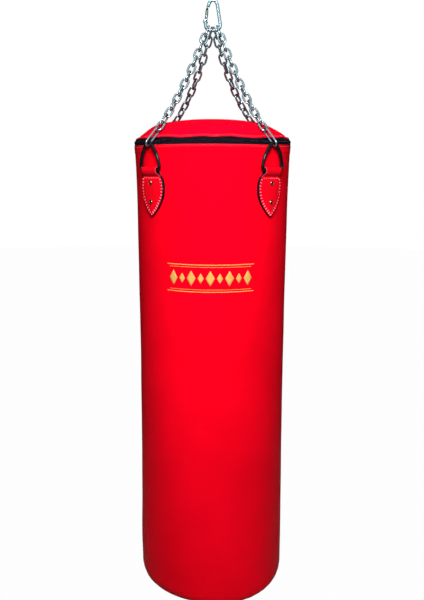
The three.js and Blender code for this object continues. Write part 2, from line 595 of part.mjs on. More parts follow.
// zip slider, pull and end tab, at the back of the rim
{
  const y = (r) => r;                             // the back is +Y
  let slider = solid(boxAt(-7, 7, y(201.6), y(205.0), ZIP_Z + 4.4, ZIP_Z + 14.2));
  slider = slider.subtract(solid(boxAt(-9, 9, y(195), y(203.2), ZIP_Z + 7.0, ZIP_Z + 11.4)));
  slider = slider.add(solid(boxAt(-1.5, 1.5, y(204.9), y(208.6), ZIP_Z + 5.0, ZIP_Z + 13.2)));
  slider = slider.subtract(solid(boxAt(-4, 4, y(205.4), y(207.6), ZIP_Z + 6.3, ZIP_Z + 11.9)));
  put('zip_slider', back(slider), 'black_steel');
  // pull: its top bar lies in the slider's bail
  const bz = ZIP_Z + 7.6, by = 206.5;
  let pull = solid(boxAt(-4, 4, by - 0.65, by + 0.65, bz - 27, bz + 0.65));
  pull = pull.subtract(solid(boxAt(-2.1, 2.1, by - 3, by + 3, bz - 5.2, bz - 0.65)));
  pull = pull.subtract(solid(boxAt(-2.0, 2.0, by - 3, by + 3, bz - 24.6, bz - 15.5)));
  put('zip_pull', back(pull), 'black_steel');
  const tabAz = rad(180 + 7.2);
  const out = V(Math.sin(tabAz), -Math.cos(tabAz), 0), tan = V(Math.cos(tabAz), Math.sin(tabAz), 0);
  const tabGeo = boxAt(-9, 9, 1.8, 15.4, 202.6, 204.2);
  tabGeo.applyMatrix4(basis(tan, V(0, 0, 1), out, V(0, 0, ZIP_Z)));
  put('zip_end_tab', tabGeo, 'black_cloth');
}

export default root;
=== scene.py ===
# Looks of a hanging heavy bag: red vinyl body, domed zipped lid, four hanger tabs with D-rings, four chains
# and one spring-snap carabiner. Metres, +Z up, the bag's front faces -Y, origin at the support hook's seat.
import math

import bmesh
import bpy
import numpy as np
from mathutils import Matrix, Vector
from mathutils.bvhtree import BVHTree


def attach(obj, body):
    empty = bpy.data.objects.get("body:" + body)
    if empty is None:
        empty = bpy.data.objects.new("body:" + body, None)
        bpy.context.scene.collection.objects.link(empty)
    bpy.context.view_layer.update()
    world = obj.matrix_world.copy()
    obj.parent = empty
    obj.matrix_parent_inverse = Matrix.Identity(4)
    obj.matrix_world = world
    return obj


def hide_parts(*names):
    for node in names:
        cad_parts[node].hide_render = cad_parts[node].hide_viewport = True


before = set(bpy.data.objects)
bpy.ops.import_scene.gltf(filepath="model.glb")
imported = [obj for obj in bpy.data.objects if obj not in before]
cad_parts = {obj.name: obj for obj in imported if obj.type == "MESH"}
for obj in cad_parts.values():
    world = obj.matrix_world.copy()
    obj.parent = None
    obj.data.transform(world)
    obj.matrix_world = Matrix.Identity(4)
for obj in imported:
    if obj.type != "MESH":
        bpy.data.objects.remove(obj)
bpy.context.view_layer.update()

scene = bpy.context.scene
scene.view_settings.view_transform = "Standard"
scene.view_settings.look = "None"
scene.view_settings.exposure = 0.0
scene.view_settings.gamma = 1.0

# ---------------------------------------------------------------- dimensions, in millimetres, as in the frame
CAR_WIRE_R = 4.0
CAR_INNER_H = 64.0
CAR_BOW_R = 13.0
CAR_BOW_FLAT = 5.5
GATE_HINGE = (-14.8, -18.0)
GATE_LATCH = (-17.5, -45.5)
GATE_R = 3.8
GATE_TONGUE = 3.0
NOSE_EYE = (-18.6, -46.0)
NOSE_EYE_R = 6.5
PIVOT_R = 1.5
LATCH_R = 1.3
GAP = 0.3
WIRE_R = 2.6
PITCH = 22.0
LINK_W = 10.4
LONG_W = 11.0
RUN_LINKS = 13
BITE = 0.3
CHAIN_SAG = 28.0
CHAIN_SLACK = 245.0
SEAT_OUT = 13.6
SEAT_IN = 4.6
SEAT_PLAY = (1.6, 0.6)
LINK_PLAY = 0.5
CHAIN_FOOT = (216.0, 2.0)
RING_PLAY = 3.0
CONNECTOR_ROLL = 22.0
ZIP_Z = -352.0
BAG_H = 1200.0
WALL = 3.0
SHELL_PROFILE = ((0, 200.9), (100, 198.0), (300, 196.2), (550, 195.1), (750, 195.8), (950, 197.6), (1100, 199.7), (1150, 199.6))
BASE_R = 174.6
TAB_AZ = 45.0
RING_WIRE_R = 4.0
RING_BAR_Z = -61.0
RING_APEX_Z = 4.2
RING_APEX_R = 211.5
STRAP_T = 2.6
STRAP_W = 54.0
TAB_T = 8.2
TAB_TOP = -76.5
TAIL_BOTTOM = -128.0
RIVET_Z = (-92.0, -137.0)
BOW_Z = -CAR_INNER_H - CAR_WIRE_R
BOW_C = BOW_Z + CAR_BOW_R
MM = 0.001
TAU = 2 * math.pi

# ---------------------------------------------------------------- camera
CAM_AZ, CAM_TILT, CAM_ROLL = math.radians(1.25), math.radians(10.95), math.radians(0.2)
cam_data = bpy.data.cameras.new("camera")
cam_data.lens = 40.2
cam_data.sensor_width = 36.0
cam_data.sensor_fit = "AUTO"
cam_data.clip_start, cam_data.clip_end = 0.05, 60.0
camera = bpy.data.objects.new("camera", cam_data)
scene.collection.objects.link(camera)
camera.location = (1.787 * math.sin(CAM_AZ), -1.787 * math.cos(CAM_AZ), -0.414)
look = Vector((-math.sin(CAM_AZ) * math.cos(CAM_TILT), math.cos(CAM_AZ) * math.cos(CAM_TILT), -math.sin(CAM_TILT)))
camera.rotation_mode = "QUATERNION"
camera.rotation_quaternion = look.to_track_quat("-Z", "Y") @ Matrix.Rotation(CAM_ROLL, 4, "Z").to_quaternion()
scene.camera = camera


# ---------------------------------------------------------------- materials
def new_material(name):
    m = bpy.data.materials.new(name)
    m.use_nodes = True
    nt = m.node_tree
    nt.nodes.clear()
    out = nt.nodes.new("ShaderNodeOutputMaterial")
    bsdf = nt.nodes.new("ShaderNodeBsdfPrincipled")
    nt.links.new(bsdf.outputs[0], out.inputs[0])
    coord = nt.nodes.new("ShaderNodeTexCoord")
    return m, nt, bsdf, coord.outputs["Object"]


def node(nt, kind, inputs=None, **props):
    n = nt.nodes.new(kind)
    for k, v in props.items():
        setattr(n, k, v)
    for k, v in (inputs or {}).items():
        if hasattr(v, "is_linked") or isinstance(v, bpy.types.NodeSocket):
            nt.links.new(v, n.inputs[k])
        else:
            n.inputs[k].default_value = v
    return n


def noise_tex(nt, co, scale, detail=3.0, rough=0.55):
    return node(nt, "ShaderNodeTexNoise", {"Vector": co, "Scale": scale, "Detail": detail, "Roughness": rough}).outputs["Fac"]


def stretched(nt, co, scale):
    return node(nt, "ShaderNodeMapping", {"Vector": co, "Scale": scale}).outputs[0]


def ramp(nt, fac, stops):
    n = node(nt, "ShaderNodeValToRGB", {"Fac": fac})
    e = n.color_ramp.elements
    while len(e) < len(stops):
        e.new(0.5)
    for i, (p, c) in enumerate(stops):
        e[i].position = p
        e[i].color = c if len(c) == 4 else (*c, 1.0)
    return n.outputs["Color"]


def remap(nt, fac, a, b, lo=0.0, hi=1.0):
    n = node(nt, "ShaderNodeMapRange", {"Value": fac, "From Min": lo, "From Max": hi, "To Min": a, "To Max": b})
    return n.outputs[0]


def blend_colour(nt, fac, a, b, mode="MIX"):
    n = node(nt, "ShaderNodeMix", data_type="RGBA", blend_type=mode)
    for key, v in ((0, fac), (6, a), (7, b)):
        if isinstance(v, bpy.types.NodeSocket):
            nt.links.new(v, n.inputs[key])
        else:
            n.inputs[key].default_value = v if key == 0 or len(v) == 4 else (*v, 1.0)
    return n.outputs[2]


def maths(nt, op, a, b=0.0):
    n = node(nt, "ShaderNodeMath", operation=op)
    for i, v in enumerate((a, b)):
        if isinstance(v, bpy.types.NodeSocket):
            nt.links.new(v, n.inputs[i])
        else:
            n.inputs[i].default_value = v
    return n.outputs[0]


def bump(nt, bsdf, height, strength, distance, below=None):
    n = node(nt, "ShaderNodeBump", {"Height": height, "Strength": strength, "Distance": distance})
    if below is not None:
        nt.links.new(below, n.inputs["Normal"])
    nt.links.new(n.outputs[0], bsdf.inputs["Normal"])
    return n.outputs[0]


def vinyl(name, colour, dark, rough=(0.40, 0.52), grain=1.0, spec=0.16, tint=(1.0, 0.10, 0.16, 1.0)):
    """Pebbled vinyl: cells of leather grain, fine pores, faint handling marks and slow colour drift."""
    m, nt, b, co = new_material(name)
    drift = noise_tex(nt, co, 5.0, 3.0)
    fine = noise_tex(nt, co, 160.0, 4.0)
    mix = blend_colour(nt, remap(nt, drift, 0.0, 1.0, 0.35, 0.7), colour, dark)
    pore = node(nt, "ShaderNodeTexVoronoi", {"Vector": co, "Scale": 620.0}, feature="F1").outputs["Distance"]
    mix = blend_colour(nt, remap(nt, pore, 0.0, 0.10, 0.35, 0.75), mix, dark)
    nt.links.new(mix, b.inputs["Base Color"])
    scuff = noise_tex(nt, stretched(nt, co, (30.0, 30.0, 9.0)), 1.0, 5.0, 0.6)
    nt.links.new(remap(nt, scuff, rough[0], rough[1], 0.3, 0.7), b.inputs["Roughness"])
    b.inputs["Specular IOR Level"].default_value = spec
    b.inputs["Specular Tint"].default_value = tint
    n1 = bump(nt, b, pore, 0.35 * grain, 0.00035)
    n2 = bump(nt, b, fine, 0.25 * grain, 0.00025, n1)
    bump(nt, b, noise_tex(nt, co, 22.0, 3.0), 0.22 * grain, 0.0018, n2)
    return m


def metal(name, colour, dark, rough=(0.16, 0.30), spots=0.25, metallic=1.0, crevice_shade=0.0):
    """Plated wire: bright plating that dulls and darkens in blotches, with fine drawing marks, and painted shade where
    pieces meet: the colour darkens by ambient occlusion in crevices and where links touch.
    """
    m, nt, b, co = new_material(name)
    blot = noise_tex(nt, co, 130.0, 4.0)
    fine = noise_tex(nt, co, 900.0, 2.0)
    c = blend_colour(nt, remap(nt, blot, 0.0, spots, 0.42, 0.72), colour, dark)
    if crevice_shade:
        # painted shade: ambient occlusion darkens the colour towards near black in crevices and where pieces touch
        ao_shade_mask = node(nt, "ShaderNodeAmbientOcclusion", {"Distance": 0.006}, samples=8).outputs["AO"]
        c = blend_colour(nt, remap(nt, ao_shade_mask, crevice_shade, 0.0, 0.35, 0.85), c, (0.012, 0.016, 0.02))
    nt.links.new(c, b.inputs["Base Color"])
    nt.links.new(remap(nt, blot, rough[0], rough[1], 0.3, 0.7), b.inputs["Roughness"])
    b.inputs["Metallic"].default_value = metallic
    n1 = bump(nt, b, fine, 0.10, 0.00012)
    bump(nt, b, blot, 0.12, 0.0004, n1)
    return m


def woven(name, colour, light, scale=900.0):
    """Woven tape: a fine rib weave on slightly dusty black yarn."""
    m, nt, b, co = new_material(name)
    wave1 = node(nt, "ShaderNodeTexWave", {"Vector": co, "Scale": scale, "Distortion": 0.6, "Detail": 1.0}, bands_direction="Z").outputs["Fac"]
    yarn = node(nt, "ShaderNodeTexVoronoi", {"Vector": co, "Scale": scale * 1.3}).outputs["Distance"]
    dust = noise_tex(nt, co, 60.0, 4.0)
    c = blend_colour(nt, remap(nt, dust, 0.0, 0.8, 0.45, 0.75), colour, light)
    nt.links.new(c, b.inputs["Base Color"])
    b.inputs["Roughness"].default_value = 0.72
    b.inputs["Specular IOR Level"].default_value = 0.07
    n1 = bump(nt, b, wave1, 0.5, 0.0003)
    bump(nt, b, yarn, 0.4, 0.0003, n1)
    return m


def plain(name, colour, dark, rough, scale, strength, metallic=0.0, spec=0.3):
    m, nt, b, co = new_material(name)
    n = noise_tex(nt, co, scale, 4.0)
    nt.links.new(blend_colour(nt, remap(nt, n, 0.0, 1.0, 0.35, 0.7), colour, dark), b.inputs["Base Color"])
    nt.links.new(remap(nt, n, rough[0], rough[1], 0.3, 0.7), b.inputs["Roughness"])
    b.inputs["Metallic"].default_value = metallic
    b.inputs["Specular IOR Level"].default_value = spec
    bump(nt, b, n, strength, 0.0005)
    return m


RED = (0.93, 0.0005, 0.012)
RED_DARK = (0.80, 0.0004, 0.010)
M_RED = vinyl("red_vinyl", RED, RED_DARK, (0.46, 0.58), 1.0, 0.08)
M_LID = vinyl("red_vinyl_lid", (0.93, 0.0006, 0.018), (0.80, 0.0004, 0.014), (0.50, 0.62), 1.0, 0.02)
M_BEAD = vinyl("red_vinyl_piping", (0.93, 0.012, 0.035), (0.80, 0.008, 0.028), (0.28, 0.38), 0.6, 0.75, (1.0, 0.62, 0.68, 1.0))
M_PATCH = vinyl("red_leather_patch", (0.88, 0.002, 0.012), (0.70, 0.001, 0.010), (0.42, 0.54), 1.3, 0.14)
M_STRAP = vinyl("red_strap", (0.86, 0.0015, 0.012), (0.66, 0.001, 0.010), (0.46, 0.58), 1.2, 0.12)
M_CUT = plain("cut_edge", (0.46, 0.045, 0.08), (0.34, 0.02, 0.05), (0.5, 0.65), 700.0, 0.3)
# black edge paint on the patches; on the straps it also covers the inner face and the back edges, where it is painted
# shade for the dark inside of the loop
M_EDGE_PAINT_AND_SHADE = plain("black_edge_paint_and_shade", (0.0030, 0.0022, 0.0055), (0.0080, 0.0058, 0.0135), (0.35, 0.5), 300.0, 0.2, 0.0, 0.10)
M_TAPE = woven("black_zip_tape", (0.0030, 0.0026, 0.0056), (0.0062, 0.0056, 0.0098))
M_COIL = plain("black_nylon", (0.004, 0.004, 0.007), (0.009, 0.009, 0.013), (0.35, 0.5), 500.0, 0.1, 0.0, 0.12)
M_THREAD = plain("pink_white_thread", (0.80, 0.38, 0.49), (0.68, 0.26, 0.35), (0.55, 0.7), 1200.0, 0.4)
M_REDTHREAD = plain("rose_thread", (0.86, 0.11, 0.17), (0.78, 0.05, 0.09), (0.5, 0.65), 1200.0, 0.4)
# the last number of these metals sets the painted shade where pieces meet
M_ZINC = metal("zinc_chain", (0.41, 0.59, 0.66), (0.20, 0.29, 0.34), (0.12, 0.20), 0.5, 0.92, 0.9)
# painted shade: a darker copy of the chain zinc, used on the rear chains
M_ZINC_REAR_SHADE = metal("zinc_chain_rear_shade", (0.29, 0.40, 0.46), (0.09, 0.12, 0.15), (0.14, 0.23), 0.7, 0.85, 0.9)
M_CARAB = metal("zinc_hardware", (0.45, 0.70, 0.78), (0.29, 0.44, 0.50), (0.13, 0.19), 0.35, 0.92, 0.8)
M_GATE = metal("zinc_gate", (0.30, 0.38, 0.36), (0.18, 0.24, 0.23), (0.50, 0.60), 0.5, 0.8, 0.8)
M_RING = plain("black_polished_steel", (0.003, 0.003, 0.004), (0.006, 0.006, 0.008), (0.05, 0.09), 90.0, 0.05, 0.0, 0.20)
M_RIVET = metal("antique_rivet", (0.030, 0.020, 0.014), (0.006, 0.004, 0.004), (0.10, 0.2), 0.9)
M_RIVET_RIM = metal("antique_rivet_rim", (0.62, 0.44, 0.30), (0.10, 0.07, 0.04), (0.14, 0.24), 0.9)
M_PIN = plain("dark_pin", (0.012, 0.018, 0.018), (0.005, 0.006, 0.006), (0.5, 0.65), 400.0, 0.2, 0.0, 0.05)
M_GOLD = plain("gold_print", (0.66, 0.40, 0.10), (0.56, 0.30, 0.06), (0.38, 0.55), 260.0, 0.15)
M_FOAM = plain("foam", (0.74, 0.71, 0.62), (0.62, 0.58, 0.49), (0.85, 0.95), 400.0, 0.5)
M_RAGS = plain("textile_filling", (0.36, 0.33, 0.30), (0.16, 0.17, 0.22), (0.9, 1.0), 60.0, 0.8)
M_SPRING = metal("spring_steel", (0.5, 0.5, 0.52), (0.3, 0.3, 0.31))


# ---------------------------------------------------------------- mesh helpers (all take millimetres)
def make(name, verts, faces, materials, body="bag", face_mats=None, sharp=35.0, merge=0.0):
    me = bpy.data.meshes.new(name)
    me.from_pydata((np.asarray(verts, float) * MM).tolist(), [], [list(map(int, f)) for f in faces])
    if face_mats is not None:
        me.polygons.foreach_set("material_index", np.asarray(face_mats, np.int32))
    bm = bmesh.new()
    bm.from_mesh(me)
    if merge:
        bmesh.ops.remove_doubles(bm, verts=bm.verts, dist=merge * MM)
    bmesh.ops.recalc_face_normals(bm, faces=bm.faces)
    bm.to_mesh(me)
    bm.free()
    for m in materials if isinstance(materials, (list, tuple)) else [materials]:
        me.materials.append(m)
    me.polygons.foreach_set("use_smooth", np.ones(len(me.polygons), bool))
    if sharp:
        me.set_sharp_from_angle(angle=math.radians(sharp))
    ob = bpy.data.objects.new(name, me)
    scene.collection.objects.link(ob)
    if body:
        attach(ob, body)
    return ob


def catmull(points, n, closed=False):
    """n points at equal spacing on a centripetal Catmull-Rom curve."""
    p = np.asarray(points, float)
    m = len(p)
    dense = []
    count = m if closed else m - 1
    for i in range(count):
        if closed:
            q = [p[(i - 1) % m], p[i], p[(i + 1) % m], p[(i + 2) % m]]
        else:
            q = [p[i - 1] if i > 0 else 2 * p[0] - p[1], p[i], p[i + 1], p[i + 2] if i + 2 < m else 2 * p[-1] - p[-2]]
        t = [0.0]
        for k in range(3):
            t.append(t[-1] + max(1e-4, np.linalg.norm(q[k + 1] - q[k])) ** 0.5)
        for s in np.linspace(t[1], t[2], 24, endpoint=False):
            a = [(t[k + 1] - s) / (t[k + 1] - t[k]) * q[k] + (s - t[k]) / (t[k + 1] - t[k]) * q[k + 1] for k in range(3)]
            b = [(t[k + 2] - s) / (t[k + 2] - t[k]) * a[k] + (s - t[k]) / (t[k + 2] - t[k]) * a[k + 1] for k in range(2)]
            dense.append((t[2] - s) / (t[2] - t[1]) * b[0] + (s - t[1]) / (t[2] - t[1]) * b[1])
    dense.append(p[0] if closed else p[-1])
    dense = np.array(dense)
    arc = np.concatenate([[0], np.cumsum(np.linalg.norm(np.diff(dense, axis=0), axis=1))])
    at = np.linspace(0, arc[-1], n + 1)[:-1] if closed else np.linspace(0, arc[-1], n)
    return np.stack([np.interp(at, arc, dense[:, k]) for k in range(3)], 1)


def unit(v):
    v = np.asarray(v, float)
    return v / np.maximum(np.linalg.norm(v, axis=-1, keepdims=True), 1e-12)


def tube(pts, r, sides=16, closed=False, start=None, flat=None):
    """Vertices and faces of a round tube along pts. r may vary. flat squeezes the section along the second axis."""
    p = np.asarray(pts, float)
    n = len(p)
    r = np.broadcast_to(np.asarray(r, float), (n,))
    if closed:
        tan = unit(np.roll(p, -1, 0) - np.roll(p, 1, 0))
    else:
        tan = unit(np.gradient(p, axis=0))
    side = np.zeros((n, 3))
    s = np.asarray(start, float) if start is not None else np.cross(tan[0], [0, 0, 1] if abs(tan[0][2]) < 0.9 else [1, 0, 0])
    for i in range(n):
        s = s - tan[i] * np.dot(s, tan[i])
        s = s / np.linalg.norm(s)
        side[i] = s
    if closed:  # spread the closing twist
        e = side[0] - tan[0] * np.dot(side[0], tan[0])
        s_end = side[-1] - tan[0] * np.dot(side[-1], tan[0])
        ang = math.atan2(np.dot(np.cross(s_end, e), tan[0]), np.dot(s_end, e))
        up = np.cross(tan, side)
        a = (ang * np.arange(n) / n)[:, None]
        side = side * np.cos(a) + up * np.sin(a)
    up = np.cross(tan, side)
    th = np.arange(sides) / sides * TAU
    f = 1.0 if flat is None else flat
    v = p[:, None] + r[:, None, None] * (np.cos(th)[None, :, None] * side[:, None] + f * np.sin(th)[None, :, None] * up[:, None])
    verts = v.reshape(-1, 3).tolist()
    faces = []
    for i in range(n if closed else n - 1):
        j = (i + 1) % n
        for k in range(sides):
            l = (k + 1) % sides
            faces.append((i * sides + k, j * sides + k, j * sides + l, i * sides + l))
    if not closed:
        for i, base in ((0, 0), (n - 1, (n - 1) * sides)):
            c = len(verts)
            verts.append(p[i] + (tan[i] * (r[i] * 0.35) if i else -tan[i] * (r[i] * 0.35)))
            for k in range(sides):
                faces.append((base + k, base + (k + 1) % sides, c))
    return np.array(verts), faces


def sweep(section, centres, xs, ys, closed=False):
    """A section of [a, b] points carried along centres, a along xs and b along ys."""
    sec, c, xs, ys = (np.asarray(v, float) for v in (section, centres, xs, ys))
    n, m = len(c), len(sec)
    v = c[:, None] + sec[None, :, 0, None] * xs[:, None] + sec[None, :, 1, None] * ys[:, None]
    faces = []
    for i in range(n if closed else n - 1):
        j = (i + 1) % n
        for k in range(m):
            l = (k + 1) % m
            faces.append((i * m + k, j * m + k, j * m + l, i * m + l))
    if not closed:
        faces.append(tuple(range(m)))
        faces.append(tuple(range((n - 1) * m, n * m)))
    return v.reshape(-1, 3), faces


def join(parts):
    """Several (vertices, faces) as one."""
    verts, faces, n = [], [], 0
    for v, f in parts:
        verts.append(np.asarray(v, float))
        faces += [tuple(int(i) + n for i in face) for face in f]
        n += len(v)
    return np.concatenate(verts), faces


def frame_of(x, y, z, origin=(0, 0, 0)):
    m = np.eye(4)
    m[:3, 0], m[:3, 1], m[:3, 2], m[:3, 3] = x, y, z, origin
    return m


def moved(verts, m):
    return np.asarray(verts, float) @ m[:3, :3].T + m[:3, 3]


def lathe(profile, seg, close_loop=True):
    """A lathe about Z. Profile points are [radius, z]."""
    p = np.asarray(profile, float)
    n = len(p)
    a = np.arange(seg) / seg * TAU
    v = np.stack([p[None, :, 0] * np.sin(a)[:, None], -p[None, :, 0] * np.cos(a)[:, None], np.broadcast_to(p[None, :, 1], (seg, n))], -1)
    faces = []
    for i in range(seg):
        j = (i + 1) % seg
        for k in range(n if close_loop else n - 1):
            l = (k + 1) % n
            faces.append((i * n + k, j * n + k, j * n + l, i * n + l))
    return v.reshape(-1, 3), faces


def boolean(ob, tool, op):
    mod = ob.modifiers.new("b", "BOOLEAN")
    mod.operation, mod.object, mod.solver = op, tool, "EXACT"
    dg = bpy.context.evaluated_depsgraph_get()
    me = bpy.data.meshes.new_from_object(ob.evaluated_get(dg))
    ob.modifiers.clear()
    old = ob.data
    ob.data = me
    bpy.data.meshes.remove(old)
    bpy.data.objects.remove(tool)


def applied(ob):
    bpy.context.view_layer.update()
    dg = bpy.context.evaluated_depsgraph_get()
    me = bpy.data.meshes.new_from_object(ob.evaluated_get(dg))
    ob.modifiers.clear()
    old = ob.data
    ob.data = me
    bpy.data.meshes.remove(old)
    me.name = ob.name


def smoothstep(x):
    t = np.clip(x, 0.0, 1.0)
    return t * t * (3 - 2 * t)


def capsule(a, b, r, sides=6):
    """A short rounded thread from a to b, thinner at its ends."""
    a, b = np.asarray(a, float), np.asarray(b, float)
    t = np.array([0.0, 0.16, 0.5, 0.84, 1.0])
    return tube(a + (b - a) * t[:, None], r * np.array([0.45, 0.9, 1.0, 0.9, 0.45]), sides)


# ---------------------------------------------------------------- where things are
_pd, _pr = np.array(SHELL_PROFILE, float).T


def shell_r(z):
    """Outer radius at height z under the rim (negative), on a smooth curve through the profile."""
    d = np.clip(-np.asarray(z, float), 0, 1150)
    m = np.gradient(_pr, _pd)
    i = np.clip(np.searchsorted(_pd, d, side="right") - 1, 0, len(_pd) - 2)
    h = _pd[i + 1] - _pd[i]
    t = (d - _pd[i]) / h
    return ((2 * t**3 - 3 * t**2 + 1) * _pr[i] + (t**3 - 2 * t**2 + t) * h * m[i]
            + (-2 * t**3 + 3 * t**2) * _pr[i + 1] + (t**3 - t**2) * h * m[i + 1])


TABS = []
for tab_name, tab_az, tab_seat in (("front_left", -TAB_AZ, -SEAT_OUT), ("front_right", TAB_AZ, SEAT_OUT),
                                   ("rear_right", 180 - TAB_AZ, SEAT_IN), ("rear_left", 180 + TAB_AZ, -SEAT_IN)):
    a = math.radians(tab_az)
    TABS.append({"name": tab_name, "az": tab_az, "seat": tab_seat,
                 "out": np.array([math.sin(a), -math.cos(a), 0.0]), "tan": np.array([math.cos(a), math.sin(a), 0.0])})
RB = float(np.interp(57, _pd, _pr)) + 0.5
BAR_R = RB + STRAP_T + RING_WIRE_R + 0.5
UP = np.array([0.0, 0.0, 1.0])


def bow_height(x):
    d = max(0.0, abs(x) - CAR_BOW_FLAT)
    return BOW_C - math.sqrt(CAR_BOW_R**2 - d**2)


def chain_layout(tab):
    """Each link's frame (long axis, width, thickness, middle) and inner length, from the carabiner down."""
    p0 = tab["out"] * RING_APEX_R + UP * (ZIP_Z + RING_APEX_Z)
    foot = tab["out"] * CHAIN_FOOT[0] + UP * (ZIP_Z + CHAIN_FOOT[1])
    seat = np.array([tab["seat"], 0.0, bow_height(tab["seat"])])
    front = abs(tab["az"]) < 90

    def route(u):
        drop = (CHAIN_SAG * 4 * u if front else CHAIN_SLACK * u**1.6) * (1 - u)
        return foot + (seat - foot) * u - UP * drop

    outer = abs(tab["seat"]) == SEAT_OUT
    p = seat + unit(route(1) - route(0.97)) * (CAR_WIRE_R + SEAT_PLAY[0 if outer else 1])
    u, links = 1.0, []
    for i in range(RUN_LINKS + 1):
        lo, hi = 0.0, u
        for _ in range(50):
            m = (lo + hi) / 2
            if np.linalg.norm(route(m) - p) > PITCH:
                lo = m
            else:
                hi = m
        u = (lo + hi) / 2
        low = p + unit(route(u) - p) * PITCH
        links.append((low, p))
        d = unit(p - low)
        p = low + d * (LINK_PLAY if i in (0, RUN_LINKS) else -BITE)
    d_long = unit(p - p0)
    low = p0 - d_long * (RING_WIRE_R + RING_PLAY)
    links.append((low, p))
    h_tan = np.cross(unit([seat[0] - p0[0], seat[1] - p0[1], 0.0]), UP)

    def across(d):
        return h_tan, unit(np.cross(d, h_tan))

    a = math.radians(38 if outer else 12) * (-1 if tab["seat"] < 0 else 1)
    bow_t = np.array([math.cos(a), 0.0, math.sin(a)])
    d_first = unit(links[0][1] - links[0][0])
    f1, f2 = across(d_first)
    n15 = unit(bow_t - d_first * np.dot(bow_t, d_first))
    b_top = math.atan2(np.dot(n15, f2), np.dot(n15, f1))
    side = -math.copysign(1.0, tab["seat"]) * (1 if front else 0.5)
    b_low = math.radians(CONNECTOR_ROLL) * side
    while b_top - b_low > math.pi / 2:
        b_top -= math.pi
    while b_top - b_low < -math.pi / 2:
        b_top += math.pi
    placed = []
    for i, (lo, hi) in enumerate(links):
        d = unit(hi - lo)
        e1, e2 = across(d)
        beta = b_top + (b_low - b_top) * i / (len(links) - 1) + i * math.pi / 2
        n = e1 * math.cos(beta) + e2 * math.sin(beta)
        placed.append((frame_of(d, np.cross(n, d), n, (lo + hi) / 2), float(np.linalg.norm(hi - lo))))
    outward = unit(np.cross(d_long, h_tan))
    if np.dot(outward, tab["out"]) < 0:
        outward = -outward
    return placed, {"origin": p0, "d": d_long, "t": h_tan, "h": outward, "long": placed[-1][1], "reach": 10 if front else 26,
                    "deep": LONG_W / 2 + 2 * WIRE_R + (0.1 if front else 3.2)}


LAYOUT = {t["name"]: chain_layout(t) for t in TABS}


def pressed(p, extra=0.0):
    """How far points of the lid and the zip band are pushed in under the long links."""
    p = np.asarray(p, float)
    move = np.zeros_like(p)
    for t in TABS:
        z = LAYOUT[t["name"]][1]
        v = p - z["origin"]
        q, h, s = np.abs(v @ z["t"]), v @ z["h"], v @ z["d"]
        w = (1 - smoothstep((q - 7.5) / 22)) * (1 - smoothstep((s - z["long"] - z["reach"]) / 26)) * smoothstep((s + 26) / 18)
        deep = h + z["deep"] + extra
        inward = unit(np.stack([-p[..., 0], -p[..., 1], np.zeros(p.shape[:-1])], -1))
        amount = np.where((np.linalg.norm(v, axis=-1) < 140) & (deep > 0), deep * w, 0.0) / np.maximum(inward @ -z["h"], 0.2)
        move += inward * amount[..., None]
    return move


def waves(az, seeds):
    """Smooth periodic wander round the rim: seeds are (cycles round, height, phase)."""
    return sum(h * np.sin(k * az + ph) for k, h, ph in seeds)


FRONT_WAVE_AZ = np.radians([-60, -44, -33, -27, -20.5, -13, -5, 2.2, 8, 13.4, 21, 29.5, 36, 47, 60])
FRONT_WAVE = np.array([0.0, 0.8, 1.0, 0.2, -2.0, -0.2, 1.3, -0.6, 0.7, 1.6, -0.6, -2.0, -1.2, 0.4, 0.0])


def hem_wave(az):
    """Height of the scalloped edge between zip band and lid, in mm, at azimuth az in radians."""
    a = (np.asarray(az, float) + math.pi) % TAU - math.pi
    front = np.interp(a, FRONT_WAVE_AZ, FRONT_WAVE)
    back = waves(a, ((13, 0.9, 0.4), (17, 0.8, 2.0), (29, 0.3, 1.1)))
    w = smoothstep((np.abs(a) - math.radians(50)) / math.radians(20))
    sides = -2.0 * np.exp(-((a + 1.5) / 0.42) ** 2) - 1.0 * np.exp(-((a - 1.6) / 0.35) ** 2)
    return front * (1 - w) + back * w + sides


def hem_dip(az):
    """How far the rim hangs lower between the front hangers and on the left side, in mm."""
    a = (np.asarray(az, float) + math.pi) % TAU - math.pi
    return 2.4 * (1 - smoothstep((np.abs(a + 0.05) - math.radians(38)) / math.radians(36))) + 3.0 * np.exp(-((a + 1.4) / 0.48) ** 2)


CORNER_AZ = np.radians([-180, -100, -60, -35, -10, 15, 35, 55, 75, 110, 180])
CORNER_WORN = np.array([2.0, 4.0, 6.2, 6.0, 2.6, -1.5, -3.2, -2.0, 0.6, 2.0, 2.0])

# ---------------------------------------------------------------- chains
def link_mesh(inner, width=LINK_W, r=WIRE_R, sides=14, steps=12, weld=True):
    rc, half = width / 2 + r, inner / 2 - width / 2
    pts = []
    for s in (1, -1):
        for i in range(steps + 1):
            a = -math.pi / 2 + math.pi * i / steps + (math.pi if s < 0 else 0)
            pts.append((s * half + rc * math.cos(a), rc * math.sin(a), 0.0))
        if half > 0.5:
            k = 7 if s > 0 else 5
            y = rc if s > 0 else -rc
            for j in range(1, k):
                pts.append((s * half * (1 - 2 * j / k), y, 0.0))
    pts = np.array(pts)
    rr = np.full(len(pts), r)
    if weld:  # the butt weld's bead in the middle of one leg
        on = pts[:, 1] > rc - 0.01
        rr[on] = r * (1 + 0.16 * np.exp(-((pts[on, 0] - 0.4) / 1.5) ** 2))
    return tube(pts, rr, sides, True, start=(0, 0, 1))


